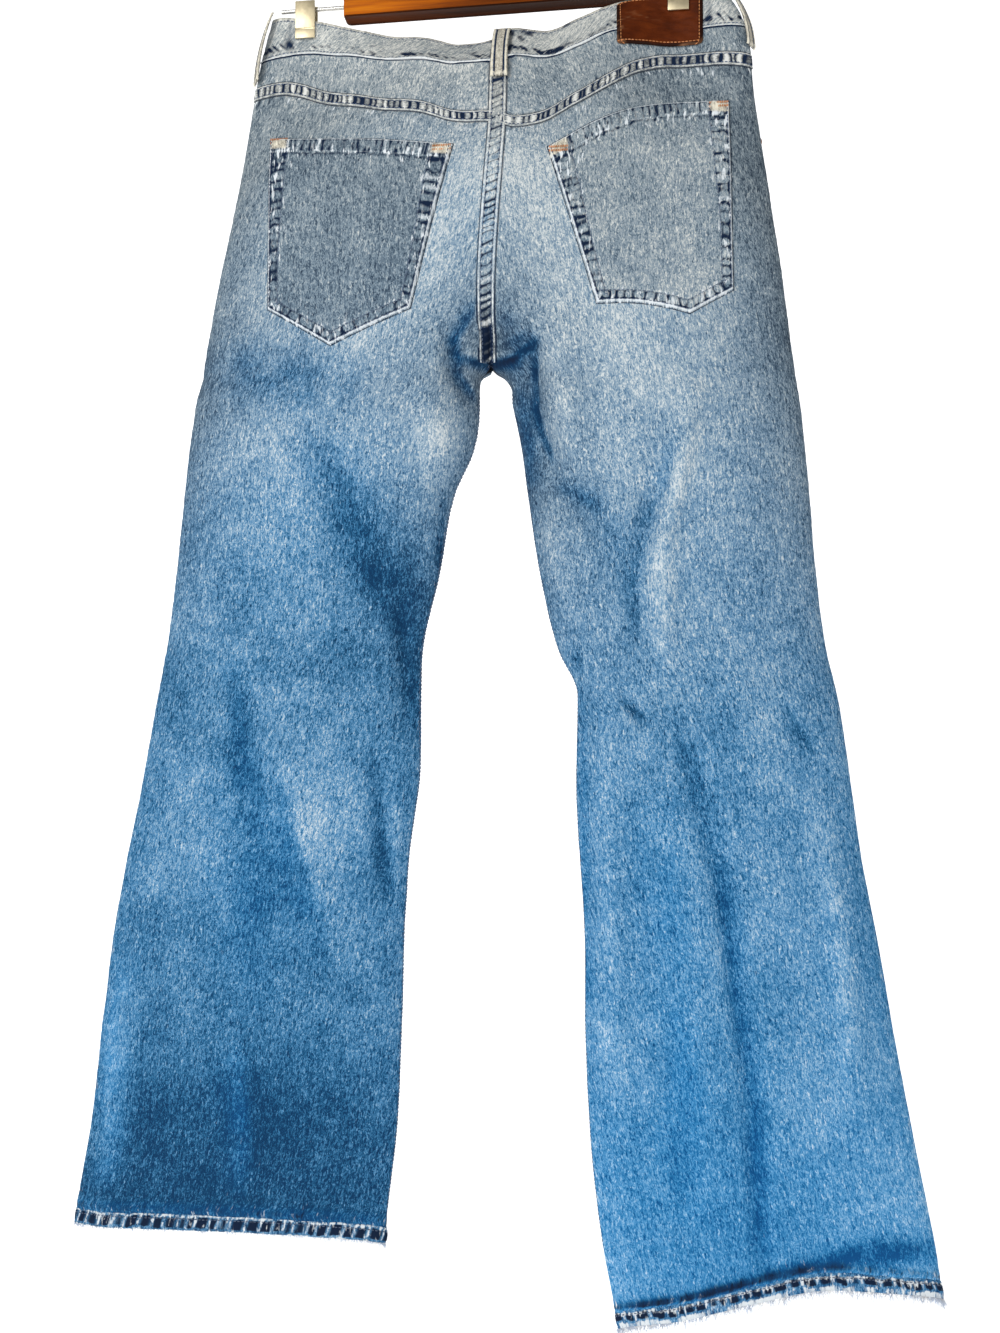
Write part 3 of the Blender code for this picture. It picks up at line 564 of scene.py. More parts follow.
def cloud(x, y, size, seed):
    """Soft random hills from -1 to 1, about size apart."""
    lattice = np.random.default_rng(seed).uniform(-1.0, 1.0, (64, 64))
    column, row = np.floor(x / size).astype(int), np.floor(y / size).astype(int)
    tx, ty = smooth(x / size - column), smooth(y / size - row)
    low = lattice[column % 64, row % 64] * (1 - tx) + lattice[(column + 1) % 64, row % 64] * tx
    high = lattice[column % 64, (row + 1) % 64] * (1 - tx) + lattice[(column + 1) % 64, (row + 1) % 64] * tx
    return low * (1 - ty) + high * ty


def puckers(run, period, seed):
    """Ridges of a shrunken seam along its run: 0 in the dips, up to 1 on the ridges, uneven in length."""
    rng = np.random.default_rng(seed)
    count = int(np.max(run) / period * 1.6) + 8
    edges = np.cumsum(rng.uniform(0.55, 1.45, count)) * period
    heights = rng.uniform(0.45, 1.0, count)
    run = np.clip(run, 0.0, edges[-2])
    cell = np.searchsorted(edges, run)
    before = np.where(cell > 0, edges[cell - 1], 0.0)
    phase = (run - before) / (edges[cell] - before)
    return heights[cell] * np.sin(math.pi * phase) ** 0.8


def to_row(points):
    """Millimetres in the garment's layout to metres from the hook's seat."""
    return (points - HOOK_SEAT) * MM


def camera_axes():
    """Right, up and forward of the photograph's camera."""
    yaw, pitch, roll = (math.radians(a) for a in (CAMERA_YAW, CAMERA_PITCH, CAMERA_ROLL))
    forward = np.array([math.sin(yaw) * math.cos(pitch), math.cos(yaw) * math.cos(pitch), math.sin(pitch)])
    level = np.array([math.cos(yaw), -math.sin(yaw), 0.0])
    upright = np.cross(level, forward)
    right = math.cos(roll) * level + math.sin(roll) * upright
    return right, math.cos(roll) * upright - math.sin(roll) * level, forward


def in_photo(points):
    """Where garment points lie in the photograph's 1000 by 1333 frame."""
    right, up, forward = camera_axes()
    away = points * MM - CAMERA_PLACE
    depth = away @ forward
    column = PHOTO_WIDTH / 2 + CAMERA_FOCAL * (away @ right) / depth
    return column, PHOTO_HEIGHT / 2 - CAMERA_FOCAL * (away @ up) / depth


# Shader maths as expressions

class Value:
    """A socket in a material, so that node maths can be written as a sum."""

    def __init__(self, paint, socket):
        self.paint, self.socket = paint, socket

    def math(self, operation, *others):
        return self.paint.value("Math", {"operation": operation}, dict(enumerate((self, *others))))

    def __add__(self, other):
        return self.math("ADD", other)

    def __sub__(self, other):
        return self.math("SUBTRACT", other)

    def __mul__(self, other):
        return self.math("MULTIPLY", other)

    def __truediv__(self, other):
        return self.math("DIVIDE", other)

    def __pow__(self, other):
        return self.math("POWER", other)

    def __rsub__(self, other):
        return self * -1.0 + other

    __radd__ = __add__
    __rmul__ = __mul__

    def clamped(self):
        return self.paint.value("Clamp", {}, {"Value": self})

    def ease(self, low, high):
        """0 below low, 1 above high and smooth between."""
        settings = {"interpolation_type": "SMOOTHSTEP"}
        return self.paint.value("MapRange", settings, {"Value": self, "From Min": low, "From Max": high})


class Paint:
    """One material and the nodes behind it."""

    def __init__(self, name):
        self.material = bpy.data.materials.new(name)
        self.material.use_nodes = True
        self.nodes = self.material.node_tree.nodes
        self.links = self.material.node_tree.links
        self.shader = self.nodes["Principled BSDF"]

    def node(self, kind, settings=None, inputs=None):
        """Add a node, set it, then give its sockets numbers or links."""
        made = self.nodes.new("ShaderNode" + kind)
        for name, setting in (settings or {}).items():
            if name == "stops":
                self.set_stops(made.color_ramp, setting)
            else:
                setattr(made, name, setting)
        for name, given in (inputs or {}).items():
            self.give(made.inputs[name], given)
        return made

    def give(self, socket, given):
        if isinstance(given, Value):
            self.links.new(given.socket, socket)
        else:
            socket.default_value = given

    def set_stops(self, ramp, stops):
        for place, _ in stops[1:-1]:
            ramp.elements.new(place)
        for element, (place, colour) in zip(ramp.elements, stops):
            element.position = place
            element.color = (*colour, 1.0)

    def value(self, kind, settings=None, inputs=None, output=0):
        return Value(self, self.node(kind, settings, inputs).outputs[output])

    def attribute(self, name):
        return self.value("Attribute", {"attribute_name": name}, output="Fac")

    def noise(self, place, scale, detail=2.0, roughness=0.5, distortion=0.0):
        inputs = {"Vector": place, "Scale": scale, "Detail": detail, "Roughness": roughness,
                  "Distortion": distortion}
        return self.value("TexNoise", {}, inputs)

    def stretched(self, place, scale, turn=0.0):
        """Coordinates stretched and turned about Z."""
        return self.value("Mapping", {}, {"Vector": place, "Scale": scale, "Rotation": (0.0, 0.0, turn)})

    def ramp(self, factor, stops):
        return self.value("ValToRGB", {"stops": stops}, {"Fac": factor})

    def mix(self, factor, first, second, blend="MIX"):
        settings = {"data_type": "RGBA", "blend_type": blend}
        made = self.node("Mix", settings, {0: factor, 6: first, 7: second})
        return Value(self, made.outputs[2])

    def bump(self, height, depth, strength=1.0):
        return self.value("Bump", {}, {"Height": height, "Distance": depth, "Strength": strength})

    def finish(self, **sockets):
        """Feed the shader, by socket name with underscores for spaces."""
        for name, given in sockets.items():
            self.give(self.shader.inputs[name.replace("_", " ")], given)
        return self.material


def tone(red, green, blue):
    """Colour as the eye reads it, 0 to 255, to linear light."""
    def linear(channel):
        share = channel / 255.0
        return share / 12.92 if share <= 0.04045 else ((share + 0.055) / 1.055) ** 2.4
    return linear(red), linear(green), linear(blue)


INDIGO_AND_PAINTED_SHADE = tone(16, 32, 56)
WEFT = tone(214, 220, 224)
CREAM = tone(226, 218, 196)

BLUE_WASH = (
    (0.00, tone(10, 50, 84)),
    (0.22, tone(30, 86, 124)),
    (0.50, tone(78, 131, 172)),
    (0.78, tone(142, 172, 194)),
    (1.00, tone(196, 207, 214)),
)
VIVID_WASH = (
    (0.00, tone(10, 74, 128)),
    (0.22, tone(28, 108, 162)),
    (0.50, tone(72, 143, 194)),
    (0.78, tone(132, 178, 213)),
    (1.00, tone(196, 214, 232)),
)
GREY_WASH = (
    (0.00, tone(44, 56, 70)),
    (0.22, tone(80, 94, 106)),
    (0.50, tone(124, 137, 145)),
    (0.78, tone(164, 170, 171)),
    (1.00, tone(212, 213, 208)),
)
CREAM_WASH = (
    (0.00, tone(84, 78, 70)),
    (0.50, tone(160, 153, 138)),
    (1.00, tone(222, 216, 198)),
)
WOOD = (
    (0.0, tone(66, 28, 0)),
    (0.25, tone(112, 50, 0)),
    (0.5, tone(170, 86, 0)),
    (0.8, tone(204, 120, 6)),
)
# Darker copy of the wood for the bar's downward faces: painted shade.
WOOD_PAINTED_SHADE = (
    (0.2, tone(40, 14, 0)),
    (0.8, tone(92, 40, 0)),
)


def denim(name):
    """Worn twill. The cloth's attributes say how faded, grey, vivid, dark or whitened it is; the wash and ink
    attributes carry painted shade, painted shadow and painted highlight as well as real fade and dye.
    """
    paint = Paint(name)
    weave = paint.value("UVMap", {"uv_map": "cloth"})
    wash = paint.attribute("wash")
    mottle = paint.noise(paint.stretched(weave, (560.0, 280.0, 1.0), 0.8), 1.0, 2.0, 0.6, 1.6)
    thread = paint.noise(paint.stretched(weave, (800.0, 170.0, 1.0), 0.45), 1.0, 2.0, 0.6, 1.0)
    flecks = paint.noise(paint.stretched(weave, (330.0, 90.0, 1.0), 0.08), 1.0, 2.0, 0.5, 0.5)
    drag = paint.attribute("drag")
    slub = paint.noise(paint.stretched(weave, (420.0, 26.0, 1.0)), 1.0, 2.0, 0.5)
    blotch = paint.noise(paint.stretched(weave, (24.0, 17.0, 1.0)), 1.0, 3.0, 0.6, 0.4)
    rising = paint.noise(paint.stretched(weave, (900.0, 80.0, 1.0), 0.95), 1.0, 1.0, 0.5, 0.6)
    falling = paint.noise(paint.stretched(weave, (900.0, 80.0, 1.0), -0.75), 1.0, 1.0, 0.5, 0.6)
    scratch = rising.ease(0.62, 0.70) + falling.ease(0.64, 0.72)
    grain = (mottle - 0.5) * 1.70 + (thread - 0.5) * 1.10 + (slub - 0.5) * 0.35 + (blotch - 0.5) * 0.30
    level = (wash + grain).clamped()
    blue = paint.ramp(level, BLUE_WASH)
    blue = paint.mix(paint.attribute("vivid"), blue, paint.ramp(level, VIVID_WASH))
    colour = paint.mix(paint.attribute("grey").clamped(), blue, paint.ramp(level, GREY_WASH))
    warm = paint.attribute("warm")
    colour = paint.mix(warm, colour, paint.ramp(level, CREAM_WASH))
    # The ink attribute darkens towards indigo: unfaded dye, and painted shadow and shade beside loops, under edges and
    # in creases.
    dark = paint.attribute("ink") + (1 - flecks).ease(0.56, 0.70) * drag * 0.5 + (mottle - 0.5) * 0.5
    colour = paint.mix(dark.ease(0.25, 0.85), colour, (*INDIGO_AND_PAINTED_SHADE, 1.0))
    white = paint.attribute("worn") + flecks.ease(0.54, 0.68) * drag * 0.9 + (mottle - 0.5) * 0.6
    white = (white + scratch * 0.22).ease(0.30, 0.90)
    colour = paint.mix(white, colour, paint.mix(warm, (*WEFT, 1.0), (*CREAM, 1.0)))
    along_weave = paint.stretched(weave, (1.0, 1.0, 1.0))
    twill = paint.value("TexWave", {"bands_direction": "DIAGONAL"},
                        {"Vector": along_weave, "Scale": 260.0, "Distortion": 1.2})
    relief = mottle * 0.5 + thread * 0.35 + twill * 0.15
    return paint.finish(Base_Color=colour, Roughness=0.94 - white * 0.06,
                        Normal=paint.bump(relief, 0.0008, 0.6), Specular_IOR_Level=0.12)


def weft_side(name):
    """Inside of the cloth, where the undyed weft shows between blue flecks."""
    paint = Paint(name)
    weave = paint.value("UVMap", {"uv_map": "cloth"})
    fleck = paint.noise(paint.stretched(weave, (600.0, 300.0, 1.0), -0.4), 1.0, 3.0, 0.6)
    cloudy = paint.noise(paint.stretched(weave, (20.0, 20.0, 1.0)), 1.0, 2.0)
    shade = (fleck + (cloudy - 0.5) * 0.3).clamped()
    stops = ((0.2, tone(92, 112, 138)), (0.5, tone(150, 162, 176)), (0.8, tone(198, 202, 206)))
    return paint.finish(Base_Color=paint.ramp(shade, stops), Roughness=0.95,
                        Normal=paint.bump(fleck, 0.0005, 0.5), Specular_IOR_Level=0.2)


def sewing_thread(name, colour):
    """Cotton-wrapped thread, faded unevenly."""
    paint = Paint(name)
    place = paint.value("TexCoord", output="Object")
    fade = paint.noise(place, 160.0, 2.0)
    pale = tuple(min(1.0, c * 1.7 + 0.05) for c in colour)
    shade = paint.mix(fade.ease(0.35, 0.75), (*colour, 1.0), (*pale, 1.0))
    twist = paint.noise(place, 2600.0, 1.0)
    return paint.finish(Base_Color=shade, Roughness=0.8, Normal=paint.bump(twist, 0.0002, 0.5))


def varnished_wood(name, stops):
    """Varnished wood with grain along the bar, darkening towards the bar's right end as painted shade."""
    paint = Paint(name)
    place = paint.value("TexCoord", output="Object")
    rings = paint.noise(paint.stretched(place, (3.0, 90.0, 150.0)), 1.0, 4.0, 0.6, 1.2)
    pores = paint.noise(paint.stretched(place, (40.0, 700.0, 900.0)), 1.0, 2.0, 0.6)
    painted_shade_along_bar = paint.value("SeparateXYZ", {}, {"Vector": place}, output="X").ease(-0.125, 0.02)
    shade = (rings + (pores - 0.5) * 0.35 - painted_shade_along_bar * 0.36).clamped()
    return paint.finish(Base_Color=paint.ramp(shade, stops), Roughness=0.42 + pores * 0.2,
                        Normal=paint.bump(rings + pores * 0.4, 0.0003, 0.3), Specular_IOR_Level=0.06)


def metal(name, colour, roughness):
    """Plated steel with fine brushing and a little tarnish."""
    paint = Paint(name)
    place = paint.value("TexCoord", output="Object")
    brushed = paint.noise(paint.stretched(place, (900.0, 900.0, 60.0)), 1.0, 2.0, 0.6)
    tarnish = paint.noise(place, 70.0, 3.0, 0.6)
    dull = tuple(channel * 0.62 for channel in colour)
    shade = paint.mix(tarnish.ease(0.35, 0.75), (*colour, 1.0), (*dull, 1.0))
    return paint.finish(Base_Color=shade, Metallic=0.9, Roughness=roughness + brushed * 0.12,
                        Normal=paint.bump(brushed, 0.0001, 0.25))


def patch_leather(name):
    """Red-brown leather, dark at the edges and cracked by washing."""
    paint = Paint(name)
    place = paint.value("UVMap", {"uv_map": "cloth"})
    grain = paint.noise(place, 900.0, 3.0, 0.6)
    creases = paint.noise(paint.stretched(place, (60.0, 190.0, 1.0), 0.3), 1.0, 4.0, 0.65, 0.8)
    stain = paint.noise(place, 45.0, 3.0, 0.55)
    shade = (stain * 0.7 + creases * 0.5 - 0.1 - paint.attribute("edge") * 0.45).clamped()
    stops = ((0.15, tone(34, 9, 0)), (0.45, tone(74, 26, 0)), (0.85, tone(108, 46, 6)))
    rubbed = paint.attribute("worn").ease(0.3, 0.9)
    colour = paint.mix(rubbed, paint.ramp(shade, stops), (*tone(170, 120, 84), 1.0))
    return paint.finish(Base_Color=colour, Roughness=0.42 + creases * 0.25,
                        Normal=paint.bump(grain * 0.3 + creases, 0.0007, 0.6), Specular_IOR_Level=0.12)


def back_wall(name):
    """Even white of a studio."""
    paint = Paint(name)
    place = paint.value("TexCoord", output="Object")
    faint = paint.noise(place, 2.0, 2.0)
    stops = ((0.0, (0.86, 0.86, 0.86)), (1.0, (0.90, 0.90, 0.90)))
    return paint.finish(Base_Color=paint.ramp(faint, stops), Roughness=0.9,
                        Emission_Color=(1.0, 1.0, 1.0, 1.0), Emission_Strength=0.75)


FINISH = {
    "denim": denim("worn denim"),
    "weft": weft_side("inside of denim"),
    "slate_thread": sewing_thread("slate thread", tone(58, 74, 98)),
    "tan_thread": sewing_thread("tan thread", tone(168, 104, 52)),
    "white_thread": sewing_thread("frayed cotton", tone(200, 210, 226)),
    "wood": varnished_wood("varnished bar", WOOD),
    "wood_under": varnished_wood("darker underside", WOOD_PAINTED_SHADE),
    "steel": metal("plated steel", tone(200, 198, 192), 0.22),
    "clip": metal("satin clip plate", tone(214, 200, 166), 0.40),
    "copper": metal("aged copper", tone(150, 104, 72), 0.38),
    "leather": patch_leather("washed leather"),
}

# How faded each half is from the waist down. Wash 0 is deep blue and 1 almost white. The edges' lower wash is partly
# wear and partly painted shade where the cloth turns away from the light.
# level, wash at the middle, wash at the edges, grey, vivid
FADE = {
    LEFT: (
        (40, 0.85, 0.80, 0.95, 0.00),
        (0, 0.67, 0.52, 1.00, 0.00),
        (-50, 0.66, 0.40, 0.85, 0.00),
        (-120, 0.79, 0.40, 0.55, 0.00),
        (-200, 0.77, 0.35, 0.45, 0.00),
        (-260, 0.61, 0.34, 0.45, 0.00),
        (-330, 0.64, 0.37, 0.18, 0.00),
        (-420, 0.50, 0.36, 0.00, 0.00),
        (-520, 0.42, 0.36, 0.00, 0.00),
        (-620, 0.58, 0.42, 0.00, 0.10),
        (-720, 0.44, 0.38, 0.00, 0.15),
        (-820, 0.31, 0.33, 0.00, 0.15),
        (-900, 0.11, 0.24, 0.00, 0.10),
        (-1000, 0.03, 0.20, 0.00, 0.05),
    ),
    RIGHT: (
        (40, 0.85, 0.80, 0.95, 0.00),
        (0, 0.55, 0.46, 1.00, 0.00),
        (-50, 0.56, 0.33, 0.90, 0.00),
        (-120, 0.79, 0.29, 0.65, 0.00),
        (-200, 0.79, 0.24, 0.55, 0.00),
        (-260, 0.68, 0.27, 0.50, 0.00),
        (-330, 0.65, 0.35, 0.36, 0.00),
        (-420, 0.60, 0.42, 0.20, 0.00),
        (-520, 0.56, 0.43, 0.08, 0.03),
        (-620, 0.56, 0.44, 0.00, 0.20),
        (-720, 0.50, 0.44, 0.00, 0.40),
        (-820, 0.47, 0.48, 0.00, 0.60),
        (-900, 0.39, 0.53, 0.00, 0.90),
        (-1000, 0.36, 0.54, 0.00, 1.00),
    ),
}

# Creases and fades of the back, placed in the photograph's frame of 1000 by 1333. Besides real fades, lower wash and
# ink paint shade in crease valleys and the crotch creases, and higher wash paints highlight on ridges.
# x start, y start, x end, y end, widths left and right of it, rise in mm, wash, vivid, ink
BACK_MARKS = (
    (464, 358, 490, 368, 5, 3, -0.8, -0.45, 0.0, 0.50),
    (492, 368, 514, 360, 6, 4, -0.8, -0.55, 0.0, 0.62),
    (512, 360, 534, 342, 7, 4, -0.8, -0.55, 0.0, 0.55),
    (506, 346, 530, 336, 8, 8, -0.5, -0.25, 0.0, 0.05),
    (535, 340, 536, 410, 5, 2.5, -0.8, -0.36, 0.0, 0.42),
    (536, 410, 541, 432, 4, 2.5, -0.8, -0.36, 0.0, 0.44),
    (541, 432, 553, 462, 3, 2.5, -0.8, -0.40, 0.0, 0.50),
    (518, 375, 530, 470, 13, 12, -0.2, -0.26, 0.1, 0.0),
    (528, 470, 545, 600, 12, 14, -0.2, -0.14, 0.0, 0.0),
    (500, 310, 512, 345, 8, 14, 0.0, -0.14, 0.1, 0.0),
    (472, 310, 456, 340, 10, 3, -0.6, -0.30, 0.2, 0.0),
    (456, 340, 459, 375, 10, 3, -0.6, -0.36, 0.1, 0.0),
    (459, 375, 474, 394, 8, 3, -0.5, -0.34, 0.1, 0.0),
    (466, 335, 470, 355, 3, 3, 0.4, 0.15, 0.0, 0.0),
    (556, 352, 566, 430, 12, 12, 0.8, 0.14, 0.0, 0.0),
    (436, 340, 440, 384, 9, 9, 0.6, 0.12, 0.0, 0.0),
    (378, 404, 412, 442, 26, 26, 0.5, 0.08, 0.0, 0.0),
    (452, 396, 430, 500, 24, 20, 0.4, 0.34, 0.0, 0.0),
    (322, 452, 352, 520, 30, 22, -0.4, -0.28, 0.05, 0.0),
    (352, 520, 398, 612, 16, 40, -0.6, -0.34, 0.05, 0.0),
    (398, 612, 420, 735, 7, 16, -0.8, -0.24, 0.0, 0.05),
    (444, 492, 438, 607, 5, 5, -0.5, -0.30, 0.0, 0.25),
    (230, 372, 330, 380, 30, 30, 0.0, -0.26, 0.0, 0.0),
    (215, 560, 210, 700, 26, 26, 0.3, 0.10, 0.0, 0.0),
    (300, 640, 310, 730, 26, 26, 0.3, 0.10, 0.0, 0.0),
    (236, 676, 244, 784, 12, 10, -0.6, -0.26, 0.25, 0.0),
    (272, 780, 302, 868, 30, 5, -0.8, -0.26, 0.25, 0.0),
    (302, 868, 322, 930, 34, 8, -0.6, -0.20, 0.2, 0.0),
    (286, 770, 318, 880, 5, 22, 0.6, 0.14, 0.0, 0.0),
    (240, 811, 256, 985, 40, 34, -0.4, -0.22, 0.25, 0.0),
    (372, 758, 390, 892, 12, 7, -0.7, -0.28, 0.0, 0.10),
    (396, 800, 398, 900, 4, 4, 0.3, 0.12, 0.0, 0.0),
    (180, 1096, 320, 1112, 58, 58, 0.0, -0.12, 0.0, 0.0),
    (240, 1060, 244, 1178, 20, 8, 0.4, 0.08, 0.4, 0.0),
    (124, 964, 103, 1178, 13, 15, 0.4, 0.26, 0.5, 0.0),
    (616, 430, 622, 496, 22, 20, 0.4, 0.10, 0.0, 0.0),
    (690, 430, 668, 516, 5, 10, 0.9, 0.13, 0.0, 0.0),
    (668, 516, 652, 590, 4, 16, 0.9, 0.13, 0.0, 0.0),
    (656, 590, 662, 660, 10, 12, 0.7, 0.12, 0.0, 0.0),
    (676, 450, 650, 520, 14, 5, -0.8, -0.22, 0.0, 0.05),
    (650, 520, 634, 580, 14, 5, -0.9, -0.26, 0.0, 0.05),
    (634, 580, 636, 636, 10, 4, -0.8, -0.20, 0.0, 0.0),
    (560, 484, 598, 506, 7, 10, -0.7, -0.30, 0.0, 0.12),
    (606, 520, 628, 580, 18, 12, -0.5, -0.18, 0.0, 0.0),
    (546, 500, 566, 610, 14, 14, 0.4, 0.18, 0.0, 0.0),
    (574, 652, 578, 670, 5, 5, -0.6, -0.30, 0.0, 0.20),
    (624, 699, 646, 722, 4, 4, -1.0, -0.36, 0.0, 0.18),
    (628, 693, 650, 714, 4, 4, 0.5, 0.14, 0.0, 0.0),
    (676, 728, 697, 803, 8, 14, -0.8, -0.24, 0.1, 0.0),
    (697, 803, 718, 868, 10, 12, -0.8, -0.24, 0.1, 0.0),
    (718, 868, 728, 950, 5, 16, -0.9, -0.30, 0.15, 0.04),
    (728, 950, 752, 1108, 5, 14, -0.9, -0.28, 0.2, 0.04),
    (752, 1108, 759, 1249, 6, 10, -0.8, -0.26, 0.2, 0.04),
    (716, 690, 742, 820, 22, 22, -0.4, -0.14, 0.05, 0.0),
    (786, 706, 810, 752, 8, 6, -0.6, -0.22, 0.0, 0.04),
    (606, 690, 606, 1045, 10, 10, 0.5, 0.18, 0.1, 0.0),
    (822, 800, 836, 900, 16, 12, 0.5, 0.14, 0.0, 0.0),
    (836, 900, 850, 1062, 14, 12, 0.6, 0.20, 0.1, 0.0),
    (840, 1080, 850, 1200, 50, 40, 0.0, 0.13, 0.0, 0.0),
    (660, 830, 676, 1000, 26, 26, -0.2, -0.12, 0.35, 0.0),
    (678, 1027, 684, 1203, 20, 20, -0.3, -0.14, 0.5, 0.0),
    (582, 690, 588, 1000, 5, 5, -0.3, -0.10, 0.2, 0.0),
    (620, 1306, 690, 1296, 4, 4, 0.9, -0.50, 1.0, 0.30),
    (690, 1296, 770, 1277, 5, 5, 1.0, -0.60, 1.0, 0.35),
    (770, 1277, 850, 1258, 7, 7, 1.0, -0.55, 1.0, 0.25),
    (850, 1257, 932, 1251, 12, 13, 0.9, -0.50, 1.0, 0.10),
)

# The same for the front, in the garment's own millimetres: real fades, with painted shade in crease valleys and
# painted highlight on their ridges.
# x start, z start, x end, z end, widths left and right of it, rise in mm, wash, vivid, ink
FRONT_MARKS = (
    (24, -190, 118, -150, 8, 8, -0.9, -0.16, 0.0, 0.0),
    (30, -214, 132, -196, 7, 7, -0.8, -0.14, 0.0, 0.0),
    (22, -232, 96, -244, 7, 7, -0.8, -0.15, 0.0, 0.0),
    (30, -202, 126, -172, 9, 9, 0.8, 0.16, 0.0, 0.0),
    (-18, -196, -116, -160, 8, 8, -0.9, -0.16, 0.0, 0.0),
    (-24, -222, -128, -206, 7, 7, -0.8, -0.14, 0.0, 0.0),
    (-16, -236, -84, -252, 7, 7, -0.8, -0.15, 0.0, 0.0),
    (-22, -208, -122, -182, 9, 9, 0.8, 0.16, 0.0, 0.0),
    (150, -300, 164, -520, 34, 34, 0.5, 0.18, 0.0, 0.0),
    (-158, -310, -170, -510, 34, 34, 0.5, 0.18, 0.0, 0.0),
    (120, -600, 236, -584, 7, 7, -0.9, -0.18, 0.0, 0.0),
    (132, -640, 246, -652, 8, 8, -0.8, -0.16, 0.0, 0.0),
    (140, -620, 236, -616, 9, 9, 0.7, 0.16, 0.0, 0.0),
    (-118, -590, -240, -604, 7, 7, -0.9, -0.18, 0.0, 0.0),
    (-130, -648, -250, -636, 8, 8, -0.8, -0.16, 0.0, 0.0),
    (-136, -618, -238, -620, 9, 9, 0.7, 0.16, 0.0, 0.0),
    (186, -700, 214, -930, 18, 18, 0.4, 0.14, 0.1, 0.0),
    (-196, -700, -220, -930, 18, 18, 0.4, 0.14, 0.1, 0.0),
    (250, -740, 290, -960, 10, 10, -0.6, -0.16, 0.1, 0.0),
    (-262, -740, -300, -950, 10, 10, -0.6, -0.16, 0.1, 0.0),
)


def marks(rows, x, y):
    """Rise, wash, vivid and ink that the creases and fades add at a place, painted shade and painted highlight of the
    creases included.
    """
    bend_x = 9.0 * cloud(x, y, 60.0, 11) + 4.0 * cloud(x, y, 19.0, 13)
    bend_y = 9.0 * cloud(x, y, 60.0, 12) + 4.0 * cloud(x, y, 19.0, 14)
    patchy = 1.0 + 0.35 * cloud(x, y, 16.0, 15) + 0.25 * cloud(x, y, 6.0, 16)
    total = np.zeros((*x.shape, 4))
    for x_start, y_start, x_end, y_end, left_width, right_width, *amounts in rows:
        run_x, run_y = x_end - x_start, y_end - y_start
        sway = min(1.0, (left_width + right_width) / 70.0)
        from_x, from_y = x + bend_x * sway - x_start, y + bend_y * sway - y_start
        share = np.clip((from_x * run_x + from_y * run_y) / (run_x ** 2 + run_y ** 2), 0.0, 1.0)
        away = np.hypot(from_x - share * run_x, from_y - share * run_y)
        width = np.where(from_x * run_y > from_y * run_x, right_width, left_width)
        taper = 0.55 + 0.45 * np.sin(math.pi * share)
        total += (patchy * taper * peak(away, width))[..., None] * np.array(amounts)
    total[..., 0] *= 2.0
    return np.moveaxis(total, -1, 0)


def near_line(places, line):
    """Distance of places to a line of points, and how far along it the nearest point lies."""
    best = np.full(places.shape[:-1], np.inf)
    run = np.zeros(places.shape[:-1])
    start = 0.0
    for first, last in zip(line[:-1], line[1:]):
        step = last - first
        length = np.linalg.norm(step)
        share = np.clip(((places - first) @ step) / length ** 2, 0.0, 1.0)
        away = np.linalg.norm(places - first - share[..., None] * step, axis=-1)
        closer = away < best
        best = np.where(closer, away, best)
        run = np.where(closer, start + share * length, run)
        start += length
    return best, run


def fade_and_painted_shade(side, face, points, across, level):
    """Wash, grey, vivid, ink, worn and drag of the cloth, and the rise of its fine creases. Wash and ink carry painted
    shade and painted highlight of the folds and creases as well as real fade.
    """
    x, z = points[..., 0], points[..., 2]
    share = way_in(np.clip(np.where(across > 1, 2 - across, np.abs(across)), 0, 1), level)
    on_leg = smooth((LEG_BLEND_TOP - level) / (LEG_BLEND_TOP - CROTCH_LEVEL))
    hump = np.sin(share * math.pi / 2) * (1 - on_leg) + np.sin(share * math.pi) ** 0.8 * on_leg
    middle, edge = along(FADE[side], 1, level), along(FADE[side], 2, level)
    if face == BACK:
        column, row = in_photo(points)
        rise, wash, vivid, ink = marks(BACK_MARKS, column, row)
    else:
        rise, wash, vivid, ink = marks(FRONT_MARKS, x, z)
    folds = strokes(FOLDS, face, x, z)
    wash = np.where(wash < 0, 1.0, 0.72) * wash
    kept_blue = np.clip(-2.2 * wash, 0.0, 1.0)
    soft = 0.05 * cloud(x, z, 36.0, 21) + 0.045 * cloud(x, z, 13.0, 22) + 0.03 * cloud(x, z, 5.0, 23)
    rise = rise + 0.5 * cloud(x, z, 24.0, 24) + 0.22 * cloud(x, z, 9.0, 25)
    edge_grey = 0.40 * (1 - hump) * smooth((level + 560.0) / 220.0)
    # Folds lower the wash in their valleys and raise it on their ridges, 0.012 for each millimetre of rise: painted
    # shade and painted highlight.
    return {
        "wash": edge + (middle - edge) * hump + wash + soft + 0.012 * folds,
        "grey": (along(FADE[side], 3, level) + edge_grey) * (1 - kept_blue),
        "vivid": along(FADE[side], 4, level) + vivid,
        "ink": ink,
        "worn": np.zeros(x.shape),
        "drag": np.zeros(x.shape),
    }, rise


def beside_seam(fields, rise, distance, run, seed, width, strength):
    """Puckers, worn ridges and a dark line along a seam."""
    ridge = puckers(run, 8.5, seed)
    near = peak(distance, width, width * 0.7) * strength
    line = peak(distance, 1.1) * strength
    add(fields, wash=near * (ridge - 0.45) * 0.42)
    add(fields, ink=near * np.clip(0.5 - ridge, 0, 1) * 0.8 + line * 0.6)
    add(fields, drag=peak(distance, width * 2.6) * strength * 0.7)
    return rise + near * (ridge - 0.4) * 0.8 - line * 0.5


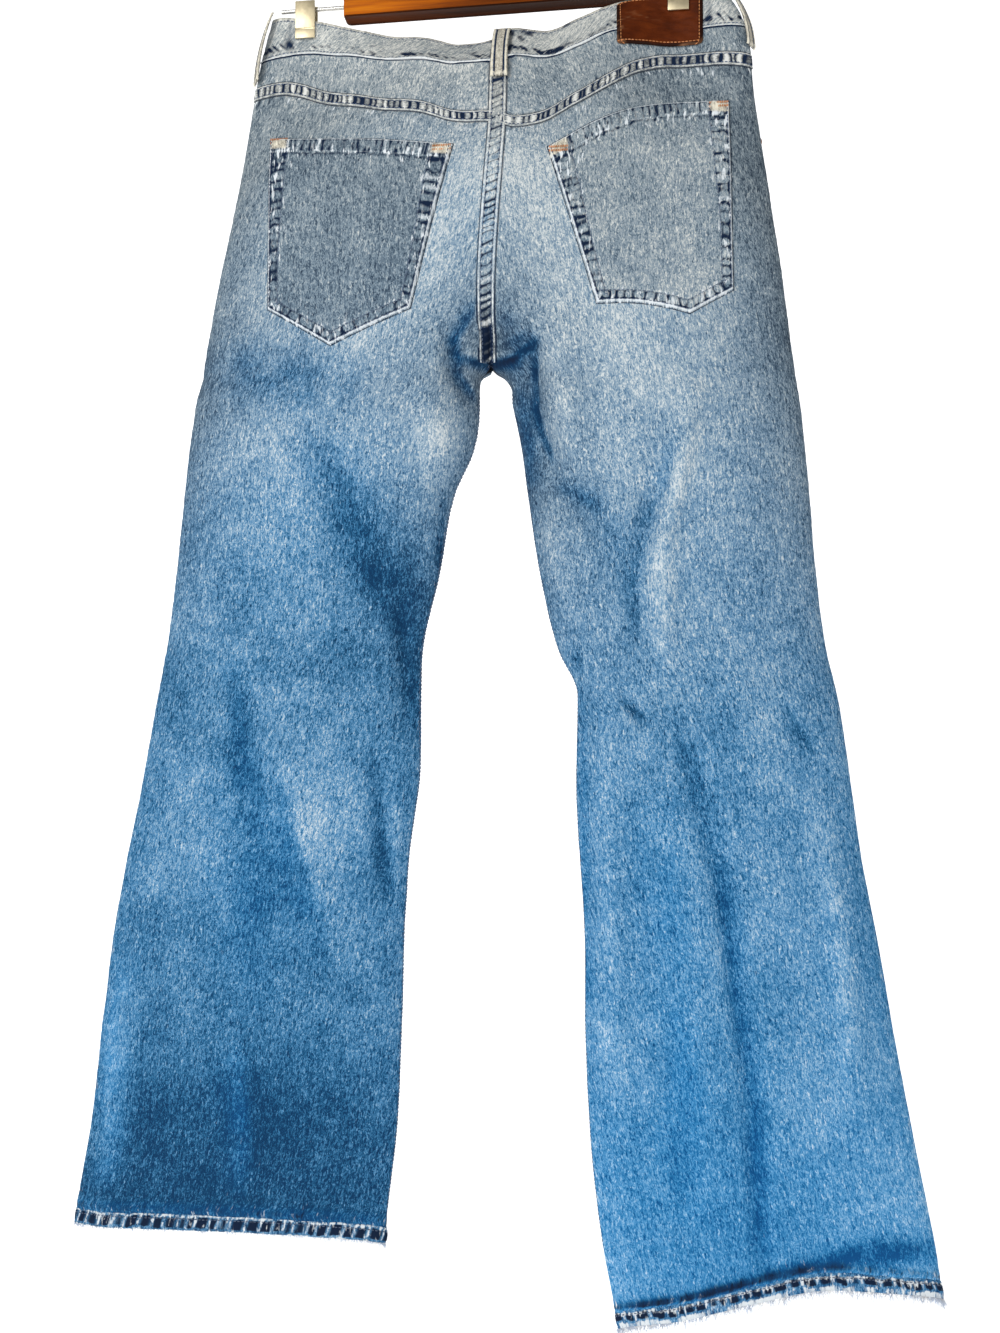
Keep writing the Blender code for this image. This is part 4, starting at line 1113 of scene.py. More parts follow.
def panel_surface(side, face, across, level):
    """Points, normals and fade of a leg panel or yoke."""
    across, level = np.broadcast_arrays(np.asarray(across, float), np.asarray(level, float))
    base = form(side, face, across, level)
    normal = normals(side, face, across, level)
    fields, rise = fade_and_painted_shade(side, face, base, across, level)
    x = base[..., 0]
    seed = 100 + 10 * face + side
    to_side = np.linalg.norm(base - form(side, face, 0.0 * across, level), axis=-1)
    to_inner = np.linalg.norm(base - form(side, face, 0.0 * across + 1.0, level), axis=-1)
    rise = beside_seam(fields, rise, to_side, -level + 60.0, seed, 3.6, 0.8)
    rise = beside_seam(fields, rise, to_inner, -level + 60.0, seed + 3, 3.2, 0.7)
    if face == BACK:
        below_middle = strip_level(x) - level
        to_yoke = np.abs(below_middle)
        rise = beside_seam(fields, rise, to_yoke, x + 260.0, seed + 6, 7.0, 0.9)
        under_centre = smooth((11.0 - to_inner) / 2.0) * smooth((level + 268.0) / 10.0)
        under_strip = np.maximum(smooth((8.5 - to_yoke) / 2.0), under_centre)
        rise = rise * (1 - under_strip) - 0.5 * under_strip
        add(fields, drag=0.3 * peak(below_middle, 6.0, 11.0))
        # Painted shadow: dark lines beside the centre loop, and a dark line just under the waistband's rolled edge.
        loop_shadow_on_yoke = peak(np.abs(x - CENTRE_LOOP_X), 1.8, 8.4) * smooth((level + 23.0) / 2.0)
        add(fields, ink=loop_shadow_on_yoke + 1.1 * peak(level, 1.1, -0.7))
    else:
        past_scoop = 100.0 * (across > SCOOP_ACROSS + 0.02)
        below_scoop = np.abs(scoop_level(across) - level - 5.0) + past_scoop
        rise = beside_seam(fields, rise, below_scoop, x + 260.0, seed + 12, 4.5, 0.9)
        opening_edge = peak(scoop_level(across) - level, 1.2, 0.8) * (across < SCOOP_ACROSS)
        add(fields, worn=0.7 * opening_edge)
    above_hem = level - hem_level(side, across) - HEM_HEIGHT
    ridge = puckers(across * 240.0, 13.0, seed + 9)
    band = peak(above_hem, 4.5, 4.0)
    add(fields, ink=band * 0.55 * (0.6 + 0.4 * ridge))
    add(fields, vivid=band * 0.5)
    rise = rise + band * (0.9 + 0.9 * ridge)
    add(fields, drag=peak(above_hem, 14.0) * 0.5)
    fade_out = smooth(np.minimum(to_side, to_inner) / 5.0)
    return base + normal * (rise * (0.25 + 0.75 * fade_out))[..., None], normal, fields


def run_across(points):
    """Length of cloth from the first column."""
    step = np.linalg.norm(np.diff(points, axis=0), axis=-1)
    return np.concatenate([np.zeros((1, points.shape[1])), np.cumsum(step, axis=0)])


def lay_cloth(name, points, outward, place, fields, wall, finishes=("denim", "weft")):
    """Sheet of cloth over computed points, with its fade and, if it has one, its wall."""
    steps = np.cross(points[1:, :-1] - points[:-1, :-1], points[:-1, 1:] - points[:-1, :-1])
    if np.sum(steps * outward[:-1, :-1]) < 0:
        points, place = points[::-1], place[::-1]
        fields = {key: field[::-1] for key, field in fields.items()}
    columns, rows = points.shape[:2]
    bpy.ops.mesh.primitive_grid_add(x_subdivisions=columns - 1, y_subdivisions=rows - 1, size=1.0)
    piece = bpy.context.object
    piece.name = piece.data.name = name
    mesh = piece.data
    mesh.vertices.foreach_set("co", to_row(points).transpose(1, 0, 2).ravel())
    corner = np.zeros(len(mesh.loops), dtype=np.int32)
    mesh.loops.foreach_get("vertex_index", corner)
    mesh.uv_layers[0].name = "cloth"
    flat = (place * MM).transpose(1, 0, 2).reshape(-1, 2)[corner]
    mesh.uv_layers["cloth"].data.foreach_set("uv", flat.ravel())
    for key, field in fields.items():
        kept = mesh.attributes.new(key, "FLOAT", "POINT")
        kept.data.foreach_set("value", np.broadcast_to(field, (columns, rows)).T.ravel().astype(np.float32))
    for finish in finishes:
        mesh.materials.append(FINISH[finish])
    mesh.update()
    bpy.ops.object.shade_smooth()
    if wall:
        shell = piece.modifiers.new("wall", "SOLIDIFY")
        shell.thickness = wall * MM
        shell.offset = -1.0
        shell.material_offset = 1
        bpy.ops.object.modifier_apply(modifier=shell.name)
    piece.select_set(False)
    return piece


def settle(piece, slot, *nodes):
    """Let a piece ride with the garment, in its slot, standing for the solids that it covers."""
    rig.ride(piece, "root")
    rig.slot(piece, slot)
    if nodes:
        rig.replaces(piece, *nodes)
    return piece


def piece_from(name, corners, faces, finish):
    """Smooth piece from corners in the garment's layout and their faces."""
    mesh = bpy.data.meshes.new(name)
    mesh.from_pydata(to_row(np.asarray(corners)).tolist(), [], faces)
    mesh.materials.append(FINISH[finish])
    mesh.shade_smooth()
    piece = bpy.data.objects.new(name, mesh)
    bpy.context.scene.collection.objects.link(piece)
    return piece


def hung(piece, width, length, rests_on, trims=(), area=None):
    """Declare a piece of cloth with the size it is cut to, in millimetres."""
    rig.sheet(piece, flat=(width * MM, length * MM), held="hung", rests_on=list(rests_on),
             with_pieces=list(trims), area=area)


class Sewing:
    """One stitch, modelled once and repeated along lines on the cloth."""

    def __init__(self):
        bpy.ops.mesh.primitive_uv_sphere_add(segments=6, ring_count=5, radius=1.0)
        first = bpy.context.object
        self.shape = np.array([v.co[:] for v in first.data.vertices])
        self.faces = [tuple(face.vertices) for face in first.data.polygons]
        bpy.data.objects.remove(first, do_unlink=True)
        self.corners, self.used = [], []

    def stitch(self, centre, run, outward, length, thick):
        run = run / np.linalg.norm(run)
        across = np.cross(outward, run)
        across = across / np.linalg.norm(across)
        up = np.cross(run, across)
        body = self.shape * (thick, thick * 0.8, length / 2)
        offset = len(self.corners) * len(self.shape)
        self.corners.append(centre + body[:, :1] * across + body[:, 1:2] * up + body[:, 2:] * run)
        self.used.extend(tuple(corner + offset for corner in face) for face in self.faces)

    def row(self, line, outward, pitch=STITCH_PITCH):
        """Sew along a line of points, each with its normal."""
        line, outward = np.asarray(line), np.asarray(outward)
        reach = np.concatenate([[0.0], np.cumsum(np.linalg.norm(np.diff(line, axis=0), axis=1))])
        for middle in np.arange(pitch / 2, reach[-1] - pitch / 2, pitch):
            ends = [np.array([np.interp(at, reach, line[:, k]) for k in range(3)])
                    for at in (middle - STITCH_LENGTH / 2, middle + STITCH_LENGTH / 2)]
            normal = np.array([np.interp(middle, reach, outward[:, k]) for k in range(3)])
            centre = sum(ends) / 2 + normal * STITCH_LIFT
            self.stitch(centre, ends[1] - ends[0], normal, STITCH_LENGTH, THREAD)

    def tack(self, centre, run, outward):
        """Bar tack: close stitches laid across one another."""
        run = run / np.linalg.norm(run)
        side = np.cross(outward, run)
        for step in np.linspace(-0.5, 0.5, TACK_STITCHES):
            self.stitch(centre + run * step * TACK_LENGTH + outward * 0.35, side, outward, 2.2, 0.5)

    def finish(self, name, finish, slot):
        """Turn all the stitches so far into one piece."""
        piece = piece_from(name, np.concatenate(self.corners), self.used, finish)
        self.corners, self.used = [], []
        return settle(piece, slot)


sewing = Sewing()


def grid_levels(top, bottom, rows):
    """Levels between two edges, evenly spaced down every column."""
    share = np.linspace(0.0, 1.0, rows)
    return top[:, None] + (bottom - top)[:, None] * share[None, :]


def lay_panel(name, side, face, across, levels, run_from=0.0, behind=0.0, paler=0.0):
    """One panel of cloth on the garment's form."""
    points, outward, fields = panel_surface(side, face, across[:, None], levels)
    add(fields, wash=paler)
    points = points - outward * behind
    place = np.stack([run_across(points), run_from - levels], axis=-1)
    return lay_cloth(name, points, outward, place, fields, CLOTH)


def build_panels():
    """Back and front panels, yokes and pocket facings."""
    made = {}
    for side in (LEFT, RIGHT):
        half = SIDE_NAME[side]
        across = np.linspace(0.0, 1.0, 96)
        hem_top = hem_level(side, across) + HEM_HEIGHT - 2.0
        yoke = yoke_level(side, across)
        levels = grid_levels(yoke, hem_top, 400)
        made["back_panel_" + half] = lay_panel("back_leg_" + half, side, BACK, across, levels)
        levels = grid_levels(0.0 * across, yoke, 36)
        made["yoke_" + half] = lay_panel("yoke_cloth_" + half, side, BACK, across, levels, 40.0, paler=0.03)
        scoop = SCOOP_ACROSS * np.sin(np.linspace(0.0, math.pi / 2, 44))
        across = np.concatenate([scoop, np.linspace(SCOOP_ACROSS, 1.0, 27)[1:]])
        hem_top = hem_level(side, across) + HEM_HEIGHT - 2.0
        levels = grid_levels(np.minimum(scoop_level(across), 0.0), hem_top, 256)
        made["front_panel_" + half] = lay_panel("front_leg_" + half, side, FRONT, across, levels)
        across = np.concatenate([scoop, [SCOOP_ACROSS + 0.03]])
        levels = grid_levels(0.0 * across - 0.5, scoop_level(across) - 16.0, 24)
        made["pocket_facing_" + half] = lay_panel("facing_" + half, side, FRONT, across, levels, behind=1.9)
    return made


def fell(name, side, across, level, period, seed, contrast, painted_strip_shade=0.0):
    """Felled seam: a folded strip that puckers between its two rows of stitches."""
    base, outward = form(side, BACK, across, level), normals(side, BACK, across, level)
    fields, _ = fade_and_painted_shade(side, BACK, base, across, level)
    place = np.linspace(-1.0, 1.0, across.shape[1])[None, :] + 0.0 * across
    run = run_across(base)
    ridge = puckers(run + 0.9 * place + 1.3 * cloud(run, place * 6.0, 5.0, seed + 1), period, seed)
    faded_spots = np.clip(0.95 + 0.35 * cloud(run, place * 5.0, 9.0, seed + 2), 0.6, 1.2)
    reach = np.abs(place)
    body = 1 - smooth((reach - 0.82) / 0.06)
    pulled = peak(reach, 0.10, 0.56)
    edge = peak(reach, 0.09, 0.76)
    inside = smooth((0.66 - reach) / 0.08)
    lift = 0.25 + FELL_RISE * body * (0.5 + 0.6 * ridge * inside + 0.3 * edge) - 0.25 * pulled
    fields["worn"] = inside * np.clip(ridge * 1.6 - 0.7, 0, 1) * 0.75 * contrast
    add(fields, worn=edge * (0.6 + 0.35 * ridge) * faded_spots)
    fields["ink"] = inside * np.clip(0.66 - ridge, 0, 1) * 1.7 * faded_spots * contrast + painted_strip_shade
    add(fields, ink=pulled * 0.35 * faded_spots)
    fields["warm"] = 0.35 * smooth((fields["grey"] - 0.5) / 0.4)
    # Dark lines along the strip's outer edges: painted shadow where its folds meet the cloth below.
    add(fields, ink=smooth((reach - 0.84) / 0.04) * 0.75)
    fields["ink"] = fields["ink"] * (1 - edge)
    points = base + outward * lift[..., None]
    flat = np.stack([place * 5.0, run], axis=-1)
    piece = lay_cloth(name, points, outward, flat, fields, 0.0)
    for line in (0.22, 0.78):
        column = round(line * (across.shape[1] - 1))
        sewing.row(points[:, column], outward[:, column])
    return settle(piece, "denim_pale")


def build_seams():
    """Felled strips: yoke seams and the centre-back seam."""
    trims = {LEFT: [], RIGHT: []}
    for side in (LEFT, RIGHT):
        across = np.linspace(0.02, 1.0, 240)
        offset = np.linspace(-0.5, 0.5, 25) * FELL_WIDTH
        x = form(side, BACK, across, -45.0 + 0 * across)[..., 0]
        level = strip_level(x)[:, None] + offset[None, :]
        name = "yoke_seam_" + SIDE_NAME[side]
        trims[side].append(fell(name, side, across[:, None] + 0 * level, level, 6.0, 40 + side, 1.45))
    levels = np.linspace(*SEAT_STRIP_ENDS, 310)
    reach = np.linspace(*SEAT_STRIP_EDGES, 29)
    outer, inner, _ = outline(LEFT, levels)
    share = 1 - np.abs(reach)[None, :] / np.abs(outer - inner)[:, None]
    place = across_at(share, levels[:, None] + 0 * share)
    place = np.where(reach[None, :] > 0, 2 - place, place)
    # Painted shade: the centre strip darkens towards the crotch, with a dark line of painted shadow under the centre
    # loop's end.
    crotch_and_loop_shade = 0.45 * smooth((-195.0 - levels) / 40.0)[:, None] + 0 * place
    crotch_and_loop_shade = crotch_and_loop_shade + peak(levels, 1.4, -20.5)[:, None]
    contrast = (0.68 + 0.32 * smooth((-60.0 - levels) / 160.0))[:, None]
    level = levels[:, None] + 0 * place
    trims[LEFT].append(fell("centre_back_seam", LEFT, place, level, 6.2, 47, contrast, crotch_and_loop_shade))
    trims[RIGHT].append(sewing.finish("seat_stitches", "slate_thread", "denim_dark"))
    return trims


def band_stations():
    """Places round the band, from its lapping end over the left side to the end beneath it."""
    lap = [(RIGHT, FRONT, place, 0.0) for place in np.linspace(0.925, 1.0, 9)[:-1]]
    front = [(LEFT, FRONT, place, 0.0) for place in np.linspace(1.0, 0.0, 120)]
    back = [(LEFT, BACK, place, 0.0) for place in np.linspace(0.0, 1.0, 130)[1:]]
    far_back = [(RIGHT, BACK, place, 0.0) for place in np.linspace(1.0, 0.0, 130)[1:]]
    under = [(RIGHT, FRONT, place, 2.9 * float(smooth((place - 0.80) / 0.09)))
             for place in np.linspace(0.0, 1.0, 120)[1:]]
    return lap + front + back + far_back + under


def build_band():
    """Waistband as one strip, with its rolled lower edge and worn top."""
    levels = BAND_HEIGHT * np.linspace(0.0, 1.0, 28) ** 1.25
    columns = []
    for side, face, across, tuck in band_stations():
        places = np.full(len(levels), across)
        normal = normals(side, face, places, levels)
        points = form(side, face, places, levels)
        columns.append((points - normal * tuck, normal, places))
    base, outward, across = (np.array(part) for part in zip(*columns))
    run = run_across(base)
    level = np.broadcast_to(levels, across.shape)
    ridge, fine = puckers(run + 1.5 * level, 7.5, 61), puckers(run, 5.5, 62)
    x, on_back = base[..., 0], base[..., 1] < 0
    rise = 0.35 * cloud(run, level, 18.0, 63) + 0.2 * cloud(run, level, 6.0, 64)
    rolled = peak(level, 1.3)
    spots = peak(level - 9.0, 3.6, 3.0 * cloud(run, 0 * level, 12.0, 68))
    spots = spots * np.clip(0.8 + 0.7 * cloud(run, level, 14.0, 69), 0.35, 1.3)
    top = peak(level, 1.6, 37.5)
    stitched = peak(level, 1.0, BAND_ROWS[1])
    rise = rise + rolled * 0.9 * (0.6 + 0.4 * fine) + spots * (ridge - 0.6) * 1.2 - stitched * 0.3 * fine
    fields = {
        "wash": 0.76 + 0.10 * cloud(run, 1.6 * level, 20.0, 65) + 0.08 * cloud(run, 1.6 * level, 7.0, 66),
        "grey": 0.97 + 0 * level, "vivid": 0 * level, "drag": 0.5 + 0 * level, "warm": 0.15 + 0.7 * top,
        "worn": rolled * 0.8 + top * (0.35 + 0.5 * fine),
        "ink": spots * np.clip(0.85 - ridge, 0, 1) * 1.6 + stitched * np.clip(0.5 - fine, 0, 1),
    }
    folded = 0.6 + 0.9 * peak(x, 34.0, 46.0) * on_back
    add(fields, ink=folded * np.clip(cloud(run + level, 1.8 * level, 11.0, 67) - 0.15, 0, 1))
    # Painted shadow beside the side loops and the centre loop.
    loop_shadow_on_band = 0.55 * peak(np.abs(x), 4.5, 176.0) + peak(np.abs(x - CENTRE_LOOP_X), 1.5, 8.0)
    add(fields, ink=loop_shadow_on_band * on_back * (1 - rolled) * 0.8)
    points = base + outward * rise[..., None]
    piece = lay_cloth("band_cloth", points, outward, np.stack([run, level], axis=-1), fields, BAND_CLOTH)
    for row_level in BAND_ROWS:
        row = int(np.argmin(np.abs(levels - row_level)))
        sewing.row(points[:, row], outward[:, row])
    thread = sewing.finish("band_stitches", "slate_thread", "denim_dark")
    return settle(piece, "denim_pale", "waistband"), thread


def crowded(count):
    """Shares from 0 to 1, closer together at both ends."""
    even, pull = np.linspace(0.0, 1.0, count), 0.6
    return even * (1 - pull) + (1 - np.cos(even * math.pi)) / 2 * pull


def fold_width(from_top):
    """Width of the folded border down a pocket's sides: wide at the top, narrow below."""
    return 9.0 + 7.0 * (1 - smooth(from_top / 120.0))


def pocket_places(side, columns, rows):
    """Grid of a back pocket: straight top, sides that narrow and a pointed lower edge."""
    top_outer, top_inner, low_inner, point, low_outer = [np.array(c, float) for c in POCKET_CORNERS[side]]
    inner_run, outer_run = np.linalg.norm(point - low_inner), np.linalg.norm(low_outer - point)
    tip = inner_run / (inner_run + outer_run)
    share = crowded(columns)
    share[np.argmin(np.abs(share - tip))] = tip
    upper = top_inner + (top_outer - top_inner) * share[:, None]
    upper[:, 1] += POCKET_TOP_BOW[side] * np.sin(math.pi * share)
    before = low_inner + (point - low_inner) * share[:, None] / tip
    before[:, 1] += POCKET_LOW_BOW[side] * np.sin(math.pi * np.clip(share / tip, 0.0, 1.0))
    after = point + (low_outer - point) * (share[:, None] - tip) / (1 - tip)
    lower = np.where(share[:, None] <= tip, before, after)
    down = crowded(rows)[None, :, None]
    return upper[:, None, :] + (lower - upper)[:, None, :] * down


def past_edge(edge, inner, width):
    """Places a little outside an edge, in line with the next ones in."""
    away = edge - inner
    return edge + away / np.linalg.norm(away, axis=-1, keepdims=True) * width


def with_rim(places, width):
    """The same grid with one more line of places all round, just outside it."""
    first, last = past_edge(places[:1], places[1:2], width), past_edge(places[-1:], places[-2:-1], width)
    places = np.concatenate([first, places, last])
    first = past_edge(places[:, :1], places[:, 1:2], width)
    last = past_edge(places[:, -1:], places[:, -2:-1], width)
    return np.concatenate([first, places, last], axis=1)


def pocket_surface(side, places, top, rim, beyond=False):
    """Points, normals and fade of a back pocket at places on it, from its top edge and its other edges.

    Places beyond its edges lie flat on the seat, in the dark line of the pocket's shadow.
    """
    across, level = locate(side, BACK, places[..., 0], places[..., 1])
    base, outward = form(side, BACK, across, level), normals(side, BACK, across, level)
    fields, rise = fade_and_painted_shade(side, BACK, base, across, level)
    from_top, top_run = near_line(places, top)
    from_rim, rim_run = near_line(places, rim)
    depth_down = np.clip(from_top / 170.0, 0, 1)
    hem_width = fold_width(from_top)
    inside_hem = smooth((hem_width - from_rim) / 1.5) * smooth(from_rim / 1.2)
    x, z = places[..., 0], places[..., 1]
    wander = 1.4 * cloud(x, z, 5.0, 74)
    ridge = puckers(np.maximum(rim_run + wander, 0), 7.8, 70 + side)
    fine = puckers(np.maximum(top_run + wander, 0), 5.8, 80 + side)
    in_top = smooth((POCKET_HEM - from_top) / 1.2) * smooth(from_top / 1.0)
    rim_edge = peak(from_rim, 0.75, 0.7)
    top_edge = peak(from_top, 0.7, 0.6)
    jagged = 13.9 + 1.4 * cloud(top_run, 0 * top_run, 3.0, 72)
    shadow = peak(from_top, 1.5, jagged) * (0.55 + 0.45 * fine)
    sewn = peak(from_rim, 0.9, hem_width) + peak(from_top, 0.9, POCKET_HEM)
    lift = POCKET_LIFT + 0.5 * rise - 1.6 * peak(np.minimum(from_rim, from_top), 0.35)
    lift = lift + inside_hem * (0.35 + 0.8 * (ridge - 0.4))
    lift = lift + in_top * (0.35 + 0.7 * (fine - 0.4)) - sewn * 0.35
    lift = np.where(beyond, rise + 0.3, lift)
    border = np.clip(inside_hem + in_top, 0, 1)
    cells = np.where(from_top < POCKET_HEM, fine, ridge)
    corner = (np.exp(-(((from_rim - 8.0) / 8.0) ** 8)) * np.exp(-(((from_top - 5.5) / 4.5) ** 8)))
    spread = np.clip(0.95 + 0.5 * cloud(x, z, 10.0, 73), 0.45, 1.3)
    blocks = border * (1 - corner) * spread
    fields["worn"] = blocks * np.clip(cells * 1.6 - 0.8, 0, 1) * 0.75 + corner * 0.6
    add(fields, worn=(rim_edge + top_edge) * (0.65 + 0.4 * cells))
    fields["warm"] = corner * 0.9
    add(fields, worn=peak(from_top, 0.7, 11.8) * 0.45)
    add(fields, worn=peak(from_rim - hem_width, 0.7, 1.0) * 0.3)
    fields["ink"] = blocks * np.clip(0.66 - cells, 0, 1) * 1.55 + shadow * 0.8
    add(fields, ink=0.45 * peak(from_rim - hem_width, 0.7, -0.6))
    add(fields, ink=peak(from_rim, 0.6, 2.3) * 0.6)
    add(fields, ink=peak(from_top, 0.5, 1.9) * 0.4)
    fields["ink"] = np.where(beyond, 0.95, fields["ink"] * (1 - rim_edge) * (1 - top_edge))
    fields["worn"] = np.where(beyond, 0.0, fields["worn"])
    fields["wash"] = 0.46 + 0.07 * side + (0.05 + 0.04 * side) * depth_down + 0.07 * cloud(x, z, 14.0, 71)
    fields["grey"] = 0.95 - 0.15 * depth_down
    fields["vivid"] = 0.0 * from_top
    fields["drag"] = peak(from_rim, 24.0) * 0.8 + peak(from_top, 12.0, 14.0) * 0.8
    return base + outward * lift[..., None], outward, fields


def build_pockets():
    """Back patch pockets with a hemmed top, folded edges and plain double rows of stitches."""
    pieces, tacks = {}, []
    for side in (LEFT, RIGHT):
        places = pocket_places(side, 120, 116)
        top = places[:, 0]
        rim = np.concatenate([places[0], places[1:, -1], places[-1, ::-1][1:]])
        wide = with_rim(places, POCKET_SHADOW)
        beyond = np.ones(wide.shape[:2], dtype=bool)
        beyond[1:-1, 1:-1] = False
        points, outward, fields = pocket_surface(side, wide, top, rim, beyond)
        name = "pocket_" + SIDE_NAME[side]
        pieces[side] = lay_cloth(name, points, outward, wide, fields, POCKET_CLOTH)
        centre = places.mean(axis=(0, 1))
        for inset in (1.6, None):
            pulled = inset_line(rim, top, centre, inset)
            line, normal, _ = pocket_surface(side, pulled, top, rim)
            sewing.row(line, normal)
        for corner in (0, -1):
            towards = np.sign(centre[0] - top[corner][0])
            spot = top[corner] + (towards * 8.0, -1.6)
            line, normal, _ = pocket_surface(side, spot[None, :], top, rim)
            tacks.append((line[0], normal[0]))
        settle(pieces[side], "denim_pale", "back_pocket_" + SIDE_NAME[side])
    rows = sewing.finish("pocket_stitches", "slate_thread", "denim_dark")
    for centre, normal in tacks:
        for drop in (0.0, 3.0):
            sewing.tack(centre - np.array([0.0, 0.0, drop]), np.array([1.0, 0.0, 0.0]), normal)
    return pieces, rows, sewing.finish("pocket_bar_tacks", "tan_thread", "denim_pale")


def inset_line(rim, top, centre, inset):
    """A row of stitches inside a pocket's edge: close to it, or at its hem's inner side."""
    line = []
    for index in range(0, len(rim), 3):
        before, after = rim[max(index - 3, 0)], rim[min(index + 3, len(rim) - 1)]
        run = (after - before) / np.linalg.norm(after - before)
        inward = np.array([-run[1], run[0]])
        if inward @ (centre - rim[index]) < 0:
            inward = -inward
        from_top = near_line(rim[index][None, :], top)[0][0]
        width = inset if inset else fold_width(from_top)
        line.append(rim[index] + inward * width)
    return np.array(line)[1:-1]


def build_patch():
    """Plain leather patch with rounded corners."""
    u = np.linspace(-1.0, 1.0, 72)[:, None]
    v = np.linspace(-1.0, 1.0, 56)[None, :]
    half_wide, half_tall = PATCH_HALF
    past = np.clip((np.abs(v) * half_tall - (half_tall - PATCH_CORNER)) / PATCH_CORNER, 0, 1)
    x = PATCH_X + u * (half_wide - PATCH_CORNER * (1 - np.sqrt(1 - past ** 2)))
    level = PATCH_LEVEL + v * half_tall + 0 * u
    outer, inner, _ = outline(RIGHT, level)
    across = across_at((outer - x) / (outer - inner), level)
    base, outward = form(RIGHT, BACK, across, level), normals(RIGHT, BACK, across, level)
    edge = np.maximum(np.abs(u), np.abs(v)) + 0 * level
    wrinkle = cloud(x + 0.6 * level, level, 11.0, 91) * 0.45 + cloud(x, level * 2.2, 5.0, 92) * 0.3
    lift = 2.0 + wrinkle * 0.6 - 1.2 * smooth((edge - 0.94) / 0.06)
    lift = lift - 0.35 * peak(np.abs(u), 0.02, 0.93)
    fields = {"edge": smooth((edge - 0.86) / 0.12), "worn": np.clip(wrinkle * 0.8 + edge ** 8 * 0.25, 0, 1)}
    points = base + outward * lift[..., None]
    flat = np.stack([x, level], axis=-1)
    piece = lay_cloth("patch", points, outward, flat, fields, PATCH_LEATHER, ("leather", "leather"))
    for column in (3, -4):
        sewing.row(points[column], outward[column], pitch=3.0)
    for row in (3, -4):
        sewing.row(points[:, row], outward[:, row], pitch=3.0)
    thread = sewing.finish("patch_stitches", "tan_thread", "leather")
    return settle(piece, "leather", "leather_patch"), thread


# name, side, face, across, facing in radians off straight back or front, gap to the cloth
BELT_LOOPS = (
    ("centre_back", RIGHT, BACK, 1.0, 0.0, 0.55),
    ("side_left", LEFT, BACK, 0.10, -1.0, 1.2),
    ("side_right", RIGHT, BACK, 0.10, 1.0, 1.2),
    ("front_left", LEFT, FRONT, 0.70, -0.07, 1.2),
    ("front_right", RIGHT, FRONT, 0.70, 0.07, 1.2),
)


def build_loop(name, side, face, across, facing, gap):
    """Belt loop: a folded strip with raised worn edges and two rows of stitches."""
    steps = np.linspace(0.0, 1.0, 64)
    levels = BAND_HEIGHT + 2.0 - steps * (BAND_HEIGHT + 20.0)
    base = form(side, face, np.full(len(levels), across), np.minimum(levels, BAND_HEIGHT))
    base[:, 2] += np.maximum(levels - BAND_HEIGHT, 0.0)
    normal = np.array([math.sin(facing), math.cos(facing) * face, 0.0])
    reach = base @ normal
    chord = reach[0] + (reach[-1] - reach[0]) * steps
    arch = (max(0.0, (reach - chord).max()) + LOOP_RISE) * np.sin(math.pi * steps) ** 0.6
    line = base + normal * (chord + arch - reach + LOOP_STANDOFF + gap)[:, None]
    across_line = np.array([normal[1], -normal[0], 0.0])
    place = np.linspace(-1.0, 1.0, 17)
    seed = 120 + len(name) + side
    run = steps * LOOP_LENGTH
    ridge = puckers(run, 6.5, seed)[None, :]
    edge = peak(np.abs(place)[:, None], 0.16, 0.80)
    sewn = peak(np.abs(place)[:, None], 0.13, 0.54)
    folded = peak(run[None, :], 2.2, 56.0) + peak(run[None, :], 2.2, 1.5)
    fall = 0.8 * smooth((np.abs(place)[:, None] - 0.88) / 0.12)
    lift = 0.45 * edge * (0.6 + 0.5 * ridge) - 0.35 * sewn - fall + 0.4 * folded
    half = LOOP_HALF * (1 + 0.035 * cloud(run, 0 * run, 8.0, seed + 1))
    points = line[None] + across_line * (place[:, None] * half[None, :])[..., None] + normal * lift[..., None]
    fields = {
        "wash": 0.66 + 0.10 * cloud(place[:, None] * 6 + 30, run[None, :], 6.0, seed + 2),
        "grey": 1.0 + 0 * lift, "vivid": 0 * lift, "warm": 0.85 + 0 * lift,
        "worn": edge * (0.7 + 0.5 * ridge) + folded * 0.6,
        "ink": sewn * (1.0 + 0.3 * (1 - ridge)), "drag": 0.2 + 0 * lift,
    }
    outward = np.broadcast_to(normal, points.shape)
    flat = np.stack([place[:, None] * 6.2 + 0 * run[None, :], run[None, :] + 0 * place[:, None]], axis=-1)
    piece = lay_cloth("loop_" + name, points, outward, flat, fields, LOOP_CLOTH)
    for column in (3, -4):
        sewing.row(points[column], outward[column], pitch=3.2)
    return settle(piece, "denim_pale", "belt_loop_" + name)


def build_loops():
    """All five belt loops, with their rows of stitches."""
    loops = [build_loop(*row) for row in BELT_LOOPS]
    return loops, sewing.finish("loop_stitches", "slate_thread", "denim_dark")


def closed_ring(field):
    """Join a ring's last station to its first, and its last row to its first."""
    field = np.concatenate([field, field[:1]])
    return np.concatenate([field, field[:, :1]], axis=1)


# A hem's roll: height above the lower edge and stand-off from the cloth, down the outside and up the inside
HEM_PROFILE = (
    (13.4, -0.6), (13.0, 0.5), (12.2, 0.9), (11.0, 0.7), (9.5, 1.0), (8.0, 1.2), (6.5, 1.35),
    (5.0, 1.4), (3.6, 1.35), (2.4, 1.1), (1.4, 0.8), (0.5, 0.9), (-0.3, 0.5), (-0.6, -0.2),
    (-0.2, -1.0), (0.8, -1.4), (3.0, -1.6), (6.5, -1.7), (10.0, -1.6), (12.6, -1.2),
)
HEM_STITCHES, HEM_LOWEST = 4, 12
# side: height of the frayed edge, height of the worn upper line, vivid
HEM_WEAR = {LEFT: (1.2, 11.8, 0.2), RIGHT: (4.4, 9.8, 0.5)}


